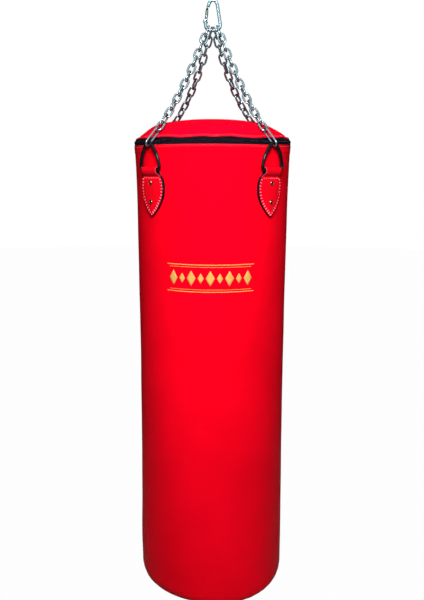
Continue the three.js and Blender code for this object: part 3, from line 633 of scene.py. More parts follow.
for tab in TABS:
    placed, _ = LAYOUT[tab["name"]]
    # the rear chains take the darker copy of the zinc, painted shade
    zinc = M_ZINC if abs(tab["az"]) < 90 else M_ZINC_REAR_SHADE
    top = make(f"chain_top_link_{tab['name']}", moved(link_mesh(placed[0][1])[0], placed[0][0]), link_mesh(placed[0][1])[1], zinc, sharp=0)
    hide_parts(f"top_link_{tab['name']}")
    parts = []
    for m, inner in placed[1:-1]:
        v, f = link_mesh(inner)
        parts.append((moved(v, m), f))
    v, f = join(parts)
    run = make(f"chain_links_{tab['name']}", v, f, zinc, sharp=0)
    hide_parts(f"chain_run_{tab['name']}")
    v, f = link_mesh(placed[-1][1], LONG_W, sides=16, steps=14)
    long_link = make(f"chain_long_link_{tab['name']}", moved(v, placed[-1][0]), f, zinc, sharp=0)
    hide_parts(f"chain_connector_{tab['name']}")


# ---------------------------------------------------------------- carabiner
def rod_piece(name, a, b, r, seg=32, material=None, body=None):
    """A cylinder from a to b with softened rims."""
    a, b = np.asarray(a, float), np.asarray(b, float)
    n = np.linalg.norm(b - a)
    e = min(0.35, r * 0.25)
    prof = [(0, -n / 2), (r - e, -n / 2), (r, -n / 2 + e), (r, n / 2 - e), (r - e, n / 2), (0, n / 2)]
    v, f = lathe(prof, seg, False)
    z = unit(b - a)
    x = unit(np.cross([0, 1, 0] if abs(z[1]) < 0.9 else [1, 0, 0], z))
    return make(name, moved(v, frame_of(x, np.cross(z, x), z, (a + b) / 2)), f, material or [], body, merge=0.01)


def box_piece(name, size, m, material=None, body=None, bevel=0.0):
    """A block with rounded edges, centred on m's origin."""
    bm = bmesh.new()
    bmesh.ops.create_cube(bm, size=1.0)
    bmesh.ops.scale(bm, vec=Vector(size), verts=bm.verts)
    if bevel:
        bmesh.ops.bevel(bm, geom=bm.edges[:], offset=bevel, segments=3, affect="EDGES", profile=0.5)
    v = np.array([tuple(x.co) for x in bm.verts])
    f = [[x.index for x in face.verts] for face in bm.faces]
    bm.free()
    return make(name, moved(v, m), f, material or [], body)


hx, hz = GATE_HINGE
lx, lz = GATE_LATCH
H, L = np.array([hx, 0.0, hz]), np.array([lx, 0.0, lz])
rod_pts = [(-13.0, -12.9), (-11.6, -8.8), (-10.2, -5.2), (-7.9, -0.6), (-4.4, 2.9), (0, 4), (4.4, 2.9), (7.9, -0.6),
           (10.2, -5.2), (12.3, -16), (14.3, -28), (16.3, -40)]
for i in range(7):
    a = math.radians(4 - 94 * i / 6)
    rod_pts.append((CAR_BOW_FLAT + CAR_BOW_R * math.cos(a), BOW_C + CAR_BOW_R * math.sin(a)))
for i in range(7):
    a = math.radians(-90 - 86 * i / 6)
    rod_pts.append((-CAR_BOW_FLAT + CAR_BOW_R * math.cos(a), BOW_C + CAR_BOW_R * math.sin(a)))
rod_pts.append((-18.7, -48.5))
line = catmull([(x, 0.0, z) for x, z in rod_pts], 150)
radii = np.full(len(line), CAR_WIRE_R)
radii[:6] = CAR_WIRE_R * np.array([0.80, 0.90, 0.955, 0.985, 0.997, 1.0])
v, f = tube(line, radii, 28, start=(0, 1, 0))
carab = make("carabiner_rod", v, f, M_CARAB, None)
t = GATE_TONGUE / 2
arm = unit(np.array([-13.0, 0, -12.9]) - H)
arm_m = frame_of(arm, (0, 1, 0), np.cross(arm, (0, 1, 0)), H + arm * 3.6)
boolean(carab, box_piece("tongue", (8.5, 2 * t, 6.2), arm_m, bevel=0.3), "UNION")
boolean(carab, rod_piece("knuckle", (hx, -t, hz), (hx, t, hz), 3.1, 28), "UNION")
boolean(carab, rod_piece("pivot_bore", (hx, -6, hz), (hx, 6, hz), PIVOT_R + 0.15, 20), "DIFFERENCE")
ex, ez = NOSE_EYE
eye_prof = [(0, -4.3), (1.8, -4.24), (3.4, -4.05), (4.8, -3.7), (5.8, -3.1), (6.3, -2.3), (6.5, -1.3)]
eye_prof += [(r, -z) for r, z in reversed(eye_prof)]
v, f = lathe(eye_prof, 48, False)
eye = make("nose_eye", moved(v, frame_of((1, 0, 0), (0, 0, -1), (0, 1, 0), (ex, 0, ez))), f, [], None, merge=0.01)
boolean(carab, eye, "UNION")
boolean(carab, box_piece("nose_slot", (3.6 + t + GAP, 2 * (t + GAP), 15.4),
                         frame_of((1, 0, 0), (0, 1, 0), (0, 0, 1), (ex - 3.6 + (3.6 + t + GAP) / 2 + 2.2, 0, ez + 4.3))), "DIFFERENCE")
boolean(carab, rod_piece("latch_notch", (lx, -6, lz), (lx, 6, lz), LATCH_R + 1.0, 24), "DIFFERENCE")
boolean(carab, box_piece("latch_mouth", (9, 12, 2 * LATCH_R + 2.0),
                         frame_of((1, 0, 0), (0, 1, 0), (0, 0, 1), (lx + 4.5, 0, lz))), "DIFFERENCE")
carab.data.materials.clear()
carab.data.materials.append(M_CARAB)
carab.data.polygons.foreach_set("use_smooth", np.ones(len(carab.data.polygons), bool))
carab.data.set_sharp_from_angle(angle=math.radians(38))
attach(carab, "carabiner")
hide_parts("carabiner_body")

s_dir = unit(L - H)
g_len = float(np.linalg.norm(L - H))
t_dir = np.cross(s_dir, (0, 1, 0))


def on_gate(s):
    return frame_of(s_dir, (0, 1, 0), t_dir, H + s_dir * s)


gate_line = H + s_dir * np.linspace(0, 21.1, 34)[:, None]
gate_r = np.full(34, GATE_R)
gate_r[:2] = (GATE_R * 0.9, GATE_R * 0.97)
gate_r[-4:] = GATE_R * np.array([0.99, 0.95, 0.86, 0.70])
gate_r[12:27] -= 0.05 * (np.arange(15) % 2)  # shallow drawing rings
v, f = tube(gate_line, gate_r, 28, start=(0, 1, 0))
gate = make("gate_sleeve", v, f, M_GATE, None)
boolean(gate, rod_piece("gate_knuckle", (hx, -GATE_R, hz), (hx, GATE_R, hz), 3.4, 28), "UNION")
boolean(gate, box_piece("gate_tongue", (g_len + 2.0 - 17, 2 * t, 5.2), on_gate((g_len + 2.0 + 17) / 2), bevel=0.4), "UNION")
boolean(gate, box_piece("gate_fork", (11.2, 2 * (t + GAP), 12), on_gate(-0.4)), "DIFFERENCE")
boolean(gate, rod_piece("gate_bore", (hx, -6, hz), (hx, 6, hz), PIVOT_R + 0.15, 20), "DIFFERENCE")
gate.data.materials.clear()
gate.data.materials.append(M_GATE)
gate.data.polygons.foreach_set("use_smooth", np.ones(len(gate.data.polygons), bool))
gate.data.set_sharp_from_angle(angle=math.radians(38))
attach(gate, "gate")
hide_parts("carabiner_gate")

pin_prof = [(0, -4.9), (1.4, -4.85), (2.2, -4.6), (2.5, -4.2), (1.5, -4.1), (1.5, 4.1), (2.5, 4.2), (2.2, 4.6), (1.4, 4.85), (0, 4.9)]
v, f = lathe(pin_prof, 24, False)
pin = make("hinge_rivet", moved(v, frame_of((1, 0, 0), (0, 0, -1), (0, 1, 0), (hx, 0, hz))), f, M_PIN, "carabiner", merge=0.01)
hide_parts("gate_pivot_pin")
pin2_prof = [(0, -4.1), (1.2, -4.05), (1.75, -3.7), (1.85, -3.2), (1.3, -2.8), (1.3, 2.8), (1.85, 3.2), (1.75, 3.7), (1.2, 4.05), (0, 4.1)]
v, f = lathe(pin2_prof, 24, False)
pin2 = make("latch_rivet", moved(v, frame_of((1, 0, 0), (0, 0, -1), (0, 1, 0), (lx, 0, lz))), f, M_PIN, "gate", merge=0.01)
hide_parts("gate_latch_pin")
th = np.linspace(0, 7.5 * TAU, 180)
coil = H + s_dir * (6.2 + 8.0 * (th / th[-1]))[:, None] + 0.95 * (np.cos(th)[:, None] * np.array([0, 1.0, 0]) + np.sin(th)[:, None] * t_dir)
v, f = tube(coil, 0.25, 8)
spring = make("closing_spring", v, f, M_SPRING, "gate", sharp=0)
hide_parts("gate_spring")

# ---------------------------------------------------------------- D-rings
slope = np.array([RING_APEX_R - BAR_R, RING_APEX_Z - RING_BAR_Z])
ring_h = float(np.linalg.norm(slope))
slope = slope / ring_h
RING_HALF = [(0, ring_h), (5.6, ring_h - 1.3), (10.6, ring_h - 5.4), (15.6, ring_h - 11.6), (21.5, ring_h - 19.4),
             (26.6, ring_h - 27.8), (30.6, ring_h - 37.5), (33.2, ring_h - 47.5), (34.4, 10.5), (33.6, 4.2), (31, 1), (27.6, 0)]
ring_loop = RING_HALF + [(9.0, 0.0), (-9.0, 0.0)] + [(-u, w) for u, w in reversed(RING_HALF[1:])]
for tab in TABS:
    pts = catmull([(u, w, 0.0) for u, w in ring_loop], 132, True)
    local = frame_of((1, 0, 0), (0, slope[1], slope[0]), (0, -slope[0], slope[1]), (0, RING_BAR_Z, BAR_R))
    world = frame_of(tab["tan"], UP, tab["out"], UP * ZIP_Z)
    v, f = tube(pts, RING_WIRE_R, 20, True, start=(0, 0, 1))
    ring = make(f"ring_{tab['name']}", moved(moved(v, local), world), f, M_RING, sharp=0)
    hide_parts(f"d_ring_{tab['name']}")

# ---------------------------------------------------------------- hanger straps, patches, stitches, rivets
LEAF = [(32.5, 0), (36.2, -8), (38.6, -18), (39.3, -28.5), (38.2, -41), (34.6, -53), (28.9, -64), (21.6, -75), (13.5, -84), (6, -91.5)]
LEAF_TIP = -95.7
leaf_v = np.array([w for _, w in LEAF] + [LEAF_TIP], float)
leaf_u = np.array([u for u, _ in LEAF] + [0.0], float)
leaf_side = catmull([(u, w, 0.0) for u, w in LEAF] + [(0.0, LEAF_TIP, 0.0)], 90)[:, :2]
top_edge = np.stack([np.linspace(-leaf_side[0, 0], leaf_side[0, 0], 30), np.zeros(30)], 1)[1:-1]
outline = np.concatenate([top_edge, leaf_side, leaf_side[::-1][1:] * (-1, 1)])  # from the top left, clockwise


def edge_distance(uv):
    """Distance of points to the leaf's outline."""
    a = outline
    b = np.roll(outline, -1, 0)
    d = b - a
    p = uv[:, None] - a[None]
    t = np.clip((p * d).sum(-1) / np.maximum((d * d).sum(-1), 1e-9), 0, 1)
    return np.sqrt(((p - t[..., None] * d) ** 2).sum(-1).min(1))


def patch_height(d):
    """Height of the patch's face over the shell at distance d from its edge."""
    edge = 0.7 * (1 - np.sqrt(np.clip(1 - (1 - np.clip(d / 0.9, 0, 1)) ** 2, 0, 1)))
    groove = 0.55 * np.exp(-((d - 3.9) / 1.5) ** 2)
    crown = 0.7 * smoothstep((d - 5) / 18) - 0.35
    return TAB_T - 0.15 - edge - groove + crown


def on_shell(tab, uv, h):
    """Points at u along the tangent, v under the patch's top edge, h over the shell."""
    z = TAB_TOP + uv[..., 1]
    r = shell_r(z) + h
    return (tab["out"] * np.sqrt(r**2 - uv[..., 0] ** 2)[..., None] + tab["tan"] * uv[..., 0][..., None] + UP * (ZIP_Z + z)[..., None])


rows = 58
row_v = -leaf_side[:, 1]
vv = -np.concatenate([[0, 0.4, 0.9, 1.6, 2.6], np.linspace(3.8, 92.5, rows - 8), [94.0, 95.0, 95.6]])
half_w = np.interp(-vv, row_v, leaf_side[:, 0])
tt = np.concatenate([[0, 0.4, 0.95, 1.6, 2.4, 3.2, 4.0, 5.0, 6.6], np.linspace(9.5, 39.3, 9)]) / 39.3
tt = np.concatenate([-1 + tt, (1 - tt)[::-1][1:]])
grid = np.stack([half_w[:, None] * tt[None], np.broadcast_to(vv[:, None], (len(vv), len(tt)))], -1)
gd = edge_distance(grid.reshape(-1, 2)).reshape(grid.shape[:2])
gd[0], gd[:, 0], gd[:, -1] = 0, 0, 0
nr, nc = grid.shape[:2]
for tab in TABS:
    # strap: a strip that comes up behind the bar, over it and down in front, its tails behind the patch
    path = [(RB + 1.6, -126.0), (RB + 1.45, -100.0), (RB + 1.4, -80.0)]
    for i in range(13):
        a = math.pi - math.pi * i / 12
        path.append((BAR_R + 5.9 * math.cos(a), RING_BAR_Z + 5.9 * math.sin(a)))
    path += [(BAR_R + 5.3, RING_BAR_Z - 4.5), (BAR_R + 3.2, RING_BAR_Z - 9.2), (RB + 5.2, -75.0), (RB + 4.3, -80.0),
             (RB + 4.1, -100.0), (RB + 4.1, -126.0)]
    line = catmull([(a, b, 0.0) for a, b in path], 90)
    tangent = unit(np.gradient(line, axis=0))
    normal = np.stack([-tangent[:, 1], tangent[:, 0]], 1)
    centres = np.array([tab["out"] * a + UP * (ZIP_Z + b) for a, b, _ in line])
    flare = 1 + 0.16 * smoothstep((-66.0 - line[:, 1]) / 9.0) * (line[:, 1] > -79.0)
    xs = tab["tan"] * flare[:, None]
    ys = np.array([tab["out"] * a + UP * b for a, b in normal])
    w2, t2 = STRAP_W / 2, STRAP_T / 2
    sec = [(-w2 + 0.9, -t2), (-w2 + 0.25, -t2 + 0.35), (-w2, 0), (-w2 + 0.25, t2 - 0.35), (-w2 + 0.9, t2)]
    sec += [(x, t2 + 0.12) for x in np.linspace(-w2 + 6, w2 - 6, 7)]
    sec += [(w2 - 0.9, t2), (w2 - 0.25, t2 - 0.35), (w2, 0), (w2 - 0.25, -t2 + 0.35), (w2 - 0.9, -t2)]
    v, f = sweep(sec, centres, xs, ys)
    across_u = v @ tab["tan"]
    bend = smoothstep((ZIP_Z - 66.0 - v[:, 2]) / 11.0) * across_u**2 / (2 * (RB + 4))
    v = v - tab["out"] * bend[:, None]
    turn_over = int(np.argmax(line[:, 1]))
    # outer face red, the front part's side edges the pale cut edge; the inner face, the back part's side edges and the
    # ends black: edge paint, and painted shade for the dark inside of the loop
    kinds = []
    for i in range(len(line) - 1):
        for k in range(len(sec)):
            kinds.append(0 if 4 <= k <= 11 else 2 if k in (2, 3, 12, 13) and i > turn_over - 12 else 1)
    strap = make(f"strap_{tab['name']}", v, f, [M_STRAP, M_EDGE_PAINT_AND_SHADE, M_CUT], face_mats=kinds + [1, 1], sharp=50)
    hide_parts(f"hanger_strap_{tab['name']}")

    # patch: crowned face, sewn groove, rounded edge, black painted side
    face = on_shell(tab, grid, patch_height(gd)).reshape(-1, 3)
    low = on_shell(tab, grid, np.full(grid.shape[:2], 0.25)).reshape(-1, 3)
    faces, kinds = [], []
    for i in range(nr - 1):
        for j in range(nc - 1):
            a, b, c, d = i * nc + j, i * nc + j + 1, (i + 1) * nc + j + 1, (i + 1) * nc + j
            faces.append((a, b, c, d))
            kinds.append(1 if i < 1 or i > nr - 3 or j < 2 or j > nc - 4 else 0)
            faces.append(tuple(nr * nc + k for k in (d, c, b, a)))
            kinds.append(1)
    rim = [(0, j) for j in range(nc)] + [(i, nc - 1) for i in range(1, nr)] + [(nr - 1, j) for j in range(nc - 2, -1, -1)] + [(i, 0) for i in range(nr - 2, 0, -1)]
    rim_uv = np.array([grid[i, j] for i, j in rim])
    centre_uv = np.array([0.0, -40.0])
    push = unit(rim_uv - centre_uv)
    levels = []
    for h, o in ((5.2, 0.35), (3.0, 0.45), (1.2, 0.1)):
        levels.append(on_shell(tab, rim_uv + push * o, np.full(len(rim), h)))
    base_i = 2 * nr * nc
    verts = np.concatenate([face, low, *levels])
    rings = [[i * nc + j for i, j in rim]] + [[base_i + k * len(rim) + i for i in range(len(rim))] for k in range(3)]
    rings.append([nr * nc + i * nc + j for i, j in rim])
    for a, b in zip(rings, rings[1:]):
        for k in range(len(rim)):
            l = (k + 1) % len(rim)
            faces.append((a[k], b[k], b[l], a[l]))
            kinds.append(1)
    patch = make(f"patch_{tab['name']}", verts, faces, [M_PATCH, M_EDGE_PAINT_AND_SHADE], face_mats=kinds, sharp=60, merge=0.02)
    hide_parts(f"hanger_patch_{tab['name']}")

    # stitches: short slanting threads all round, in the groove
    inset = 3.9
    side_in = []
    lv = leaf_side
    tg = unit(np.gradient(lv, axis=0))
    nin = np.stack([tg[:, 1], -tg[:, 0]], 1)
    nin[nin[:, 0] > 0] *= -1
    side_in = lv + nin * inset
    side_in = side_in[(side_in[:, 1] < -inset + 0.2) & (side_in[:, 0] > 0.5)]
    loop = np.concatenate([[[-side_in[0, 0] + 1.0, -3.8]], [[side_in[0, 0] - 1.0, -3.8]], side_in, [[0, side_in[-1, 1] - 1.0]], side_in[::-1] * (-1, 1)])
    arc = np.concatenate([[0], np.cumsum(np.linalg.norm(np.diff(loop, axis=0), axis=1))])
    count = int(arc[-1] / 7.3)
    threads = []
    for k in range(count):
        s = (k + 0.5) * arc[-1] / count
        c = np.array([np.interp(s, arc, loop[:, 0]), np.interp(s, arc, loop[:, 1])])
        c2 = np.array([np.interp(s + 0.5, arc, loop[:, 0]), np.interp(s + 0.5, arc, loop[:, 1])])
        dr = unit(c2 - c) if np.linalg.norm(c2 - c) > 1e-6 else np.array([1.0, 0.0])
        cr = np.array([-dr[1], dr[0]])
        half = 2.5 if c[1] < -5.5 or abs(c[0]) > 27 else 1.0  # shorter along the top, under the strap
        a2, b2 = c - cr * half - dr * 0.3, c + cr * half + dr * 0.3
        t5 = np.linspace(0, 1, 6)
        uv = a2 + (b2 - a2) * t5[:, None]
        hh = patch_height(edge_distance(uv)) + np.array([-0.7, 0.2, 0.5, 0.5, 0.2, -0.7])
        threads.append(tube(on_shell(tab, uv, hh), (0.35 + half * 0.34) * np.array([0.6, 0.95, 1, 1, 0.95, 0.6]), 10, flat=0.6, start=tab["out"]))
    v, f = join(threads)
    st = make(f"stitches_{tab['name']}", v, f, M_THREAD, sharp=0)

    # rivets: domed caps with a narrow rim, burrs inside
    parts, rim_faces = [], []
    for z in RIVET_Z:
        r = float(np.interp(-z, _pd, _pr))
        cap = r + TAB_T + 0.2
        prof = [(0, r - WALL - 2.1), (3.9, r - WALL - 2.0), (4.3, r - WALL - 1.5), (4.3, r - WALL - 0.9), (2.0, r - WALL - 0.85), (2.0, cap + 0.25),
                (5.0, cap + 0.3), (5.5, cap + 0.6), (5.6, cap + 1.1), (5.3, cap + 1.6), (4.7, cap + 1.85), (4.1, cap + 1.7), (3.75, cap + 1.4)]
        prof += [(3.6 * math.cos(a), cap + 1.25 + 1.9 * math.sin(a)) for a in np.linspace(0.2, math.pi / 2 - 0.15, 7)] + [(0, cap + 3.15)]
        v, f = lathe(prof, 32, False)
        rim_faces += [1 if 6 <= k <= 12 else 0 for _ in range(32) for k in range(len(prof) - 1)]
        parts.append((moved(v, frame_of(tab["tan"], UP, tab["out"], UP * (ZIP_Z + z))), f))
    v, f = join(parts)
    rv = make(f"rivets_{tab['name']}", v, f, [M_RIVET, M_RIVET_RIM], face_mats=rim_faces, merge=0.005, sharp=45)
    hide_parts(f"rivet_{tab['name']}_upper", f"rivet_{tab['name']}_lower")

# ---------------------------------------------------------------- bag body
SEG = 288
az = np.arange(SEG) / SEG * TAU


def body_relief(a, z):
    """Slow unevenness of a stuffed bag, in mm: a is azimuth, z the height under the rim."""
    d = -z
    slow = waves(a, ((2, 0.45, 0.3), (3, 0.35, 1.9), (5, 0.22, 4.0)))
    lumps = (0.35 * np.sin(3 * a + d / 96.0 + 0.6) * np.sin(d / 143.0 + 1.3) + 0.25 * np.sin(7 * a - d / 61.0) * np.sin(d / 88.0 + 2 * a)
             + 0.16 * np.sin(11 * a + d / 37.0 + 2.0) * np.sin(d / 53.0 + 0.4))
    fade = smoothstep(d / 60.0) * (1 - smoothstep((d - 1120) / 40.0))
    hem = 0.75 * (smoothstep((19.5 - d) / 4.0)) * (1 + 0.22 * np.sin(52 * a) + 0.15 * np.sin(83 * a + 1))
    tabs = 0.0
    for t in TABS:
        da = (a - math.radians(t["az"]) + math.pi) % TAU - math.pi
        u = da * 198.0
        tabs = tabs - 0.8 * np.exp(-((np.abs(u) - 47) / 9) ** 2 - ((d - 118) / 48) ** 2) - 0.5 * np.exp(-(u / 55) ** 2 - ((d - 200) / 26) ** 2)
    bottom = 0.7 * np.sin(44 * a + 0.7 * np.sin(9 * a)) * smoothstep((d - 1150) / 30.0) * 0.6
    seam = (np.abs(((a - math.pi) + math.pi) % TAU - math.pi) * 198.0)
    lap = 0.9 * smoothstep((9.5 - seam) / 1.2) * smoothstep((d - 2) / 6)
    return slow * fade * 0.6 + lumps * fade + hem + tabs * fade + bottom + lap


base = -BAG_H
zs = -np.concatenate([[0.0, 0.6, 1.4, 2.6, 4.5, 8, 11, 14, 15.8, 17.2, 18.6, 20.2, 22.5, 26, 31], np.arange(38, 1168, 9.0)])
outer_r = shell_r(zs)
outer_r[:3] += (-0.9, -0.3, 0.1)
corner = np.array([(199.3, base + 30), (198.7, base + 24), (197.4, base + 18), (195.3, base + 12.8), (192.2, base + 8.2), (188.2, base + 4.6),
                   (183.6, base + 2.2), (179.4, base + 0.9), (176.6, base + 0.6), (175.2, base + 1.4)])
corner_in = np.array([(174.9, base + 4.0), (186.2, base + 8.0), (193.0, base + 16.0), (195.9, base + 30)])
inner = np.array([(float(shell_r(np.array(-d))) - WALL, -d) for d in (1100, 800, 550, 300, 100, 30, 1.0)])
prof = np.concatenate([np.stack([outer_r, zs], 1), corner, corner_in, inner, [[198.6, 0.0]]])
n_out = len(zs) + len(corner)
A, P = np.meshgrid(az, np.arange(len(prof)), indexing="ij")
R, Z = prof[:, 0][P], prof[:, 1][P]
relief = np.where(P < n_out, body_relief(A, Z), 0.0)
relief[:, 0] *= 0.3
# on the corner the relief turns with the surface
turn = np.zeros(len(prof))
turn[len(zs):n_out] = np.linspace(0.1, 1.0, len(corner))
R2 = R + relief * (1 - turn[P])
Z2 = Z - relief * turn[P] * 0.5
worn = np.zeros(len(prof))
worn[:len(zs)] = 0.5 * smoothstep((-zs - 1095) / 75)
worn[len(zs):n_out] = (0.55, 0.68, 0.80, 0.92, 1.0, 1.0, 0.85, 0.6, 0.3, 0.0)
flat_by = np.interp((A + math.pi) % TAU - math.pi, CORNER_AZ, CORNER_WORN) * worn[P]
R2, Z2 = R2 - 0.56 * flat_by, Z2 + 0.83 * flat_by
near_rim = 1 - smoothstep(-np.minimum(Z, 0.0) / 70.0)
Z2 = Z2 - hem_dip(A) * 1.1 * near_rim
verts = np.stack([R2 * np.sin(A), -R2 * np.cos(A), ZIP_Z + Z2], -1).reshape(-1, 3)
m = len(prof)
faces = []
for i in range(SEG):
    j = (i + 1) % SEG
    for k in range(m):
        l = (k + 1) % m
        faces.append((i * m + k, j * m + k, j * m + l, i * m + l))
bag = make("bag_body", verts, faces, M_RED, sharp=60)
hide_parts("bag_shell")

bag_tree = BVHTree.FromObject(bag, bpy.context.evaluated_depsgraph_get())


def bag_surface(a, z):
    """The bag's outer radius at azimuth a and height z under the rim, read off its mesh."""
    d = Vector((math.sin(a), -math.cos(a), 0.0))
    hit = bag_tree.ray_cast(d * 0.26 + Vector((0, 0, (ZIP_Z + z) * MM)), -d)
    return (hit[0] - Vector((0, 0, hit[0].z))).length / MM if hit[0] is not None else float(shell_r(np.array(z)))


def at(a, z, r):
    return np.array([r * math.sin(a), -r * math.cos(a), ZIP_Z + z])


# base: a round panel, slightly bellied, with a welt and radial gathers
prof = [(0, -1.2 + base), (40, -1.15 + base), (80, -0.95 + base), (120, -0.6 + base), (150, -0.25 + base), (165, 0.1 + base), (172, 0.6 + base),
        (174.4, 1.6 + base), (174.4, 4.0 + base), (150, 4.0 + base), (0, 4.0 + base)]
v, f = lathe([(r, ZIP_Z + z) for r, z in prof], 96, False)
panel = make("base_disc", v, f, M_LID, merge=0.01, sharp=40)
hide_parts("base_panel")
a = np.linspace(0, TAU, 240, endpoint=False)
v, f = tube(np.stack([175.4 * np.sin(a), -175.4 * np.cos(a), np.full(240, ZIP_Z + base + 0.9)], 1), 1.7, 10, True)
welt = make("base_welt", v, f, M_RED, sharp=0)

# stitches of the shell's hem, and of the seam down the back
threads = []
n_st = 250
for k in range(n_st):
    a0 = (k + 0.1) / n_st * TAU
    a1 = (k + 0.74) / n_st * TAU
    p = []
    for s, h in ((0, -0.25), (0.25, 0.2), (0.5, 0.3), (0.75, 0.2), (1, -0.25)):
        aa = a0 + (a1 - a0) * s
        zz = -3.4 - float(hem_dip(aa)) * 1.1
        p.append(at(aa, zz, bag_surface(aa, zz) + h))
    threads.append(tube(p, 0.42 * np.array([0.5, 0.9, 1, 0.9, 0.5]), 6))
v, f = join(threads)
hem_thread = make("hem_stitches", v, f, M_REDTHREAD, sharp=0)
threads = []
for off in (-6.6, 6.6):
    aa = math.pi + off / 198.0
    for k in range(int(1130 / 7.0)):
        z0 = -24 - k * 7.0
        p = []
        for s, h in ((0, -0.3), (0.3, 0.3), (0.7, 0.3), (1, -0.3)):
            z = z0 - 4.6 * s
            p.append(at(aa, z, bag_surface(aa, z) + h))
        threads.append(tube(p, 0.5 * np.array([0.5, 1, 1, 0.5]), 6))
v, f = join(threads)
seam_thread = make("back_seam_stitches", v, f, M_REDTHREAD, sharp=0)


# plain ornament on the front: two fine rules and a row of lozenges
def print_on(name, loops):
    """Thin printed shapes on the bag's front. Each loop is a convex outline of [u, z] points, subdivided as it is laid on."""
    verts, faces = [], []
    for loop in loops:
        loop = np.asarray(loop, float)
        pts = []
        for i in range(len(loop)):
            p, q = loop[i], loop[(i + 1) % len(loop)]
            n = max(1, int(np.linalg.norm(q - p) / 4.0))
            pts += [p + (q - p) * k / n for k in range(n)]
        pts = np.array(pts)
        c = pts.mean(0)
        levels = [pts, c + (pts - c) * 0.66, c + (pts - c) * 0.33]
        start = len(verts)
        n = len(pts)
        for lift in (0.22, -0.35):
            for lv in levels:
                for u, z in lv:
                    a0 = u / 196.5
                    verts.append(at(a0, z, bag_surface(a0, z) + lift))
            a0 = c[0] / 196.5
            verts.append(at(a0, c[1], bag_surface(a0, c[1]) + lift))
        half = 3 * n + 1
        for s in (0, half):
            for lv in range(2):
                for k in range(n):
                    l = (k + 1) % n
                    faces.append(tuple(start + s + i for i in (lv * n + k, lv * n + l, (lv + 1) * n + l, (lv + 1) * n + k)))
            for k in range(n):
                faces.append((start + s + 2 * n + k, start + s + 2 * n + (k + 1) % n, start + s + 3 * n))
        for k in range(n):
            l = (k + 1) % n
            faces.append((start + k, start + l, start + half + l, start + half + k))
    return make(name, verts, faces, M_GOLD, sharp=0)


loops = []
ORN_Z = -318.0
for side in (1, -1):
    z = ORN_Z + side * 33.0
    for i in range(28):
        u0, u1 = -112 + 8 * i, -112 + 8 * (i + 1)
        loops.append([(u0, z - 0.9), (u1, z - 0.9), (u1, z + 0.9), (u0, z + 0.9)])
    z = ORN_Z + side * 27.5
    for i in range(26):
        u0, u1 = -104 + 8 * i, -104 + 8 * (i + 1)
        loops.append([(u0, z - 0.45), (u1, z - 0.45), (u1, z + 0.45), (u0, z + 0.45)])
for i in range(-4, 5):
    big = 19.0 if i % 2 == 0 else 12.5
    wide = 11.0 if i % 2 == 0 else 7.5
    c = i * 23.5
    loops.append([(c - wide, ORN_Z), (c, ORN_Z - big), (c + wide, ORN_Z), (c, ORN_Z + big)])
ornament = print_on("front_ornament", loops)

# ---------------------------------------------------------------- zip band
COLS = 432
caz = np.arange(COLS) / COLS * TAU


def rim_ring(name, profile, material, wave=None, node_name=None, sharp=50):
    """A band round the rim with a closed profile of [r, z], pushed in under the long links. wave lifts points by their share."""
    prof = np.asarray(profile, float)
    n = len(prof)
    A, K = np.meshgrid(caz, np.arange(n), indexing="ij")
    r, z = prof[:, 0][K], prof[:, 1][K].copy()
    if wave is not None:
        z = z + hem_wave(A) * np.asarray(wave, float)[K]
        r = r - hem_wave(A) * np.asarray(wave, float)[K] * 0.35
    ref = prof[0]
    z = z - hem_dip(A) * np.interp(prof[:, 1][K], (0, 19), (1.1, 0.75))
    P = np.stack([r * np.sin(A), -r * np.cos(A), ZIP_Z + z], -1)
    out_r = np.maximum(r, ref[0] - 30)
    ref_p = np.stack([(out_r + 0.4) * np.sin(A), -(out_r + 0.4) * np.cos(A), ZIP_Z + z], -1)
    P = P + pressed(ref_p, 0.3)
    faces = []
    for i in range(COLS):
        j = (i + 1) % COLS
        for k in range(n):
            l = (k + 1) % n
            faces.append((i * n + k, j * n + k, j * n + l, i * n + l))
    ob = make(name, P.reshape(-1, 3), faces, material, sharp=sharp)
    if node_name:
        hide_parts(node_name)
    return ob


rim_ring("zip_band_lower", [(201.0, 0.5), (201.35, 1.4), (201.2, 3.6), (201.3, 6.2), (200.9, 7.1), (199.9, 7.2), (199.4, 3.6), (199.9, 0.4)], M_TAPE,
         node_name="zip_tape_lower")
rim_ring("zip_band_upper", [(201.0, 10.7), (200.9, 11.6), (199.7, 13.6), (198.0, 15.6), (195.7, 18.4), (194.6, 19.0), (194.0, 18.2), (197.0, 14.6), (199.3, 11.2)],
         M_TAPE, wave=[0, 0, 0.2, 0.5, 1, 1, 1, 0.4, 0], node_name="zip_tape_upper")
# rolled red edges above and below the band
th8 = np.arange(8) / 8 * TAU
rim_ring("rim_piping", [(201.5 + 0.95 * math.cos(t), -0.1 + 0.95 * math.sin(t)) for t in th8], M_BEAD, sharp=0)
rim_ring("lid_piping", [(196.2 + 0.85 * math.cos(t), 19.0 + 0.85 * math.sin(t)) for t in th8], M_BEAD, wave=[1] * 8, sharp=0)
# the coil: one nylon spiral right round
turns = 420
steps = 10
tcoil = np.arange(turns * steps) / (turns * steps) * TAU
ph = tcoil * turns
rr, zz = 200.6 + 1.0 * np.cos(ph), 9.0 + 1.75 * np.sin(ph) - hem_dip(tcoil) * 0.93
P = np.stack([rr * np.sin(tcoil), -rr * np.cos(tcoil), ZIP_Z + zz], -1)
P = P + pressed(np.stack([201.4 * np.sin(tcoil), -201.4 * np.cos(tcoil), ZIP_Z + zz], -1), 0.3)
v, f = tube(P, 0.55, 6, True)
coil = make("zip_teeth", v, f, M_COIL, sharp=0)
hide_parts("zip_coil")

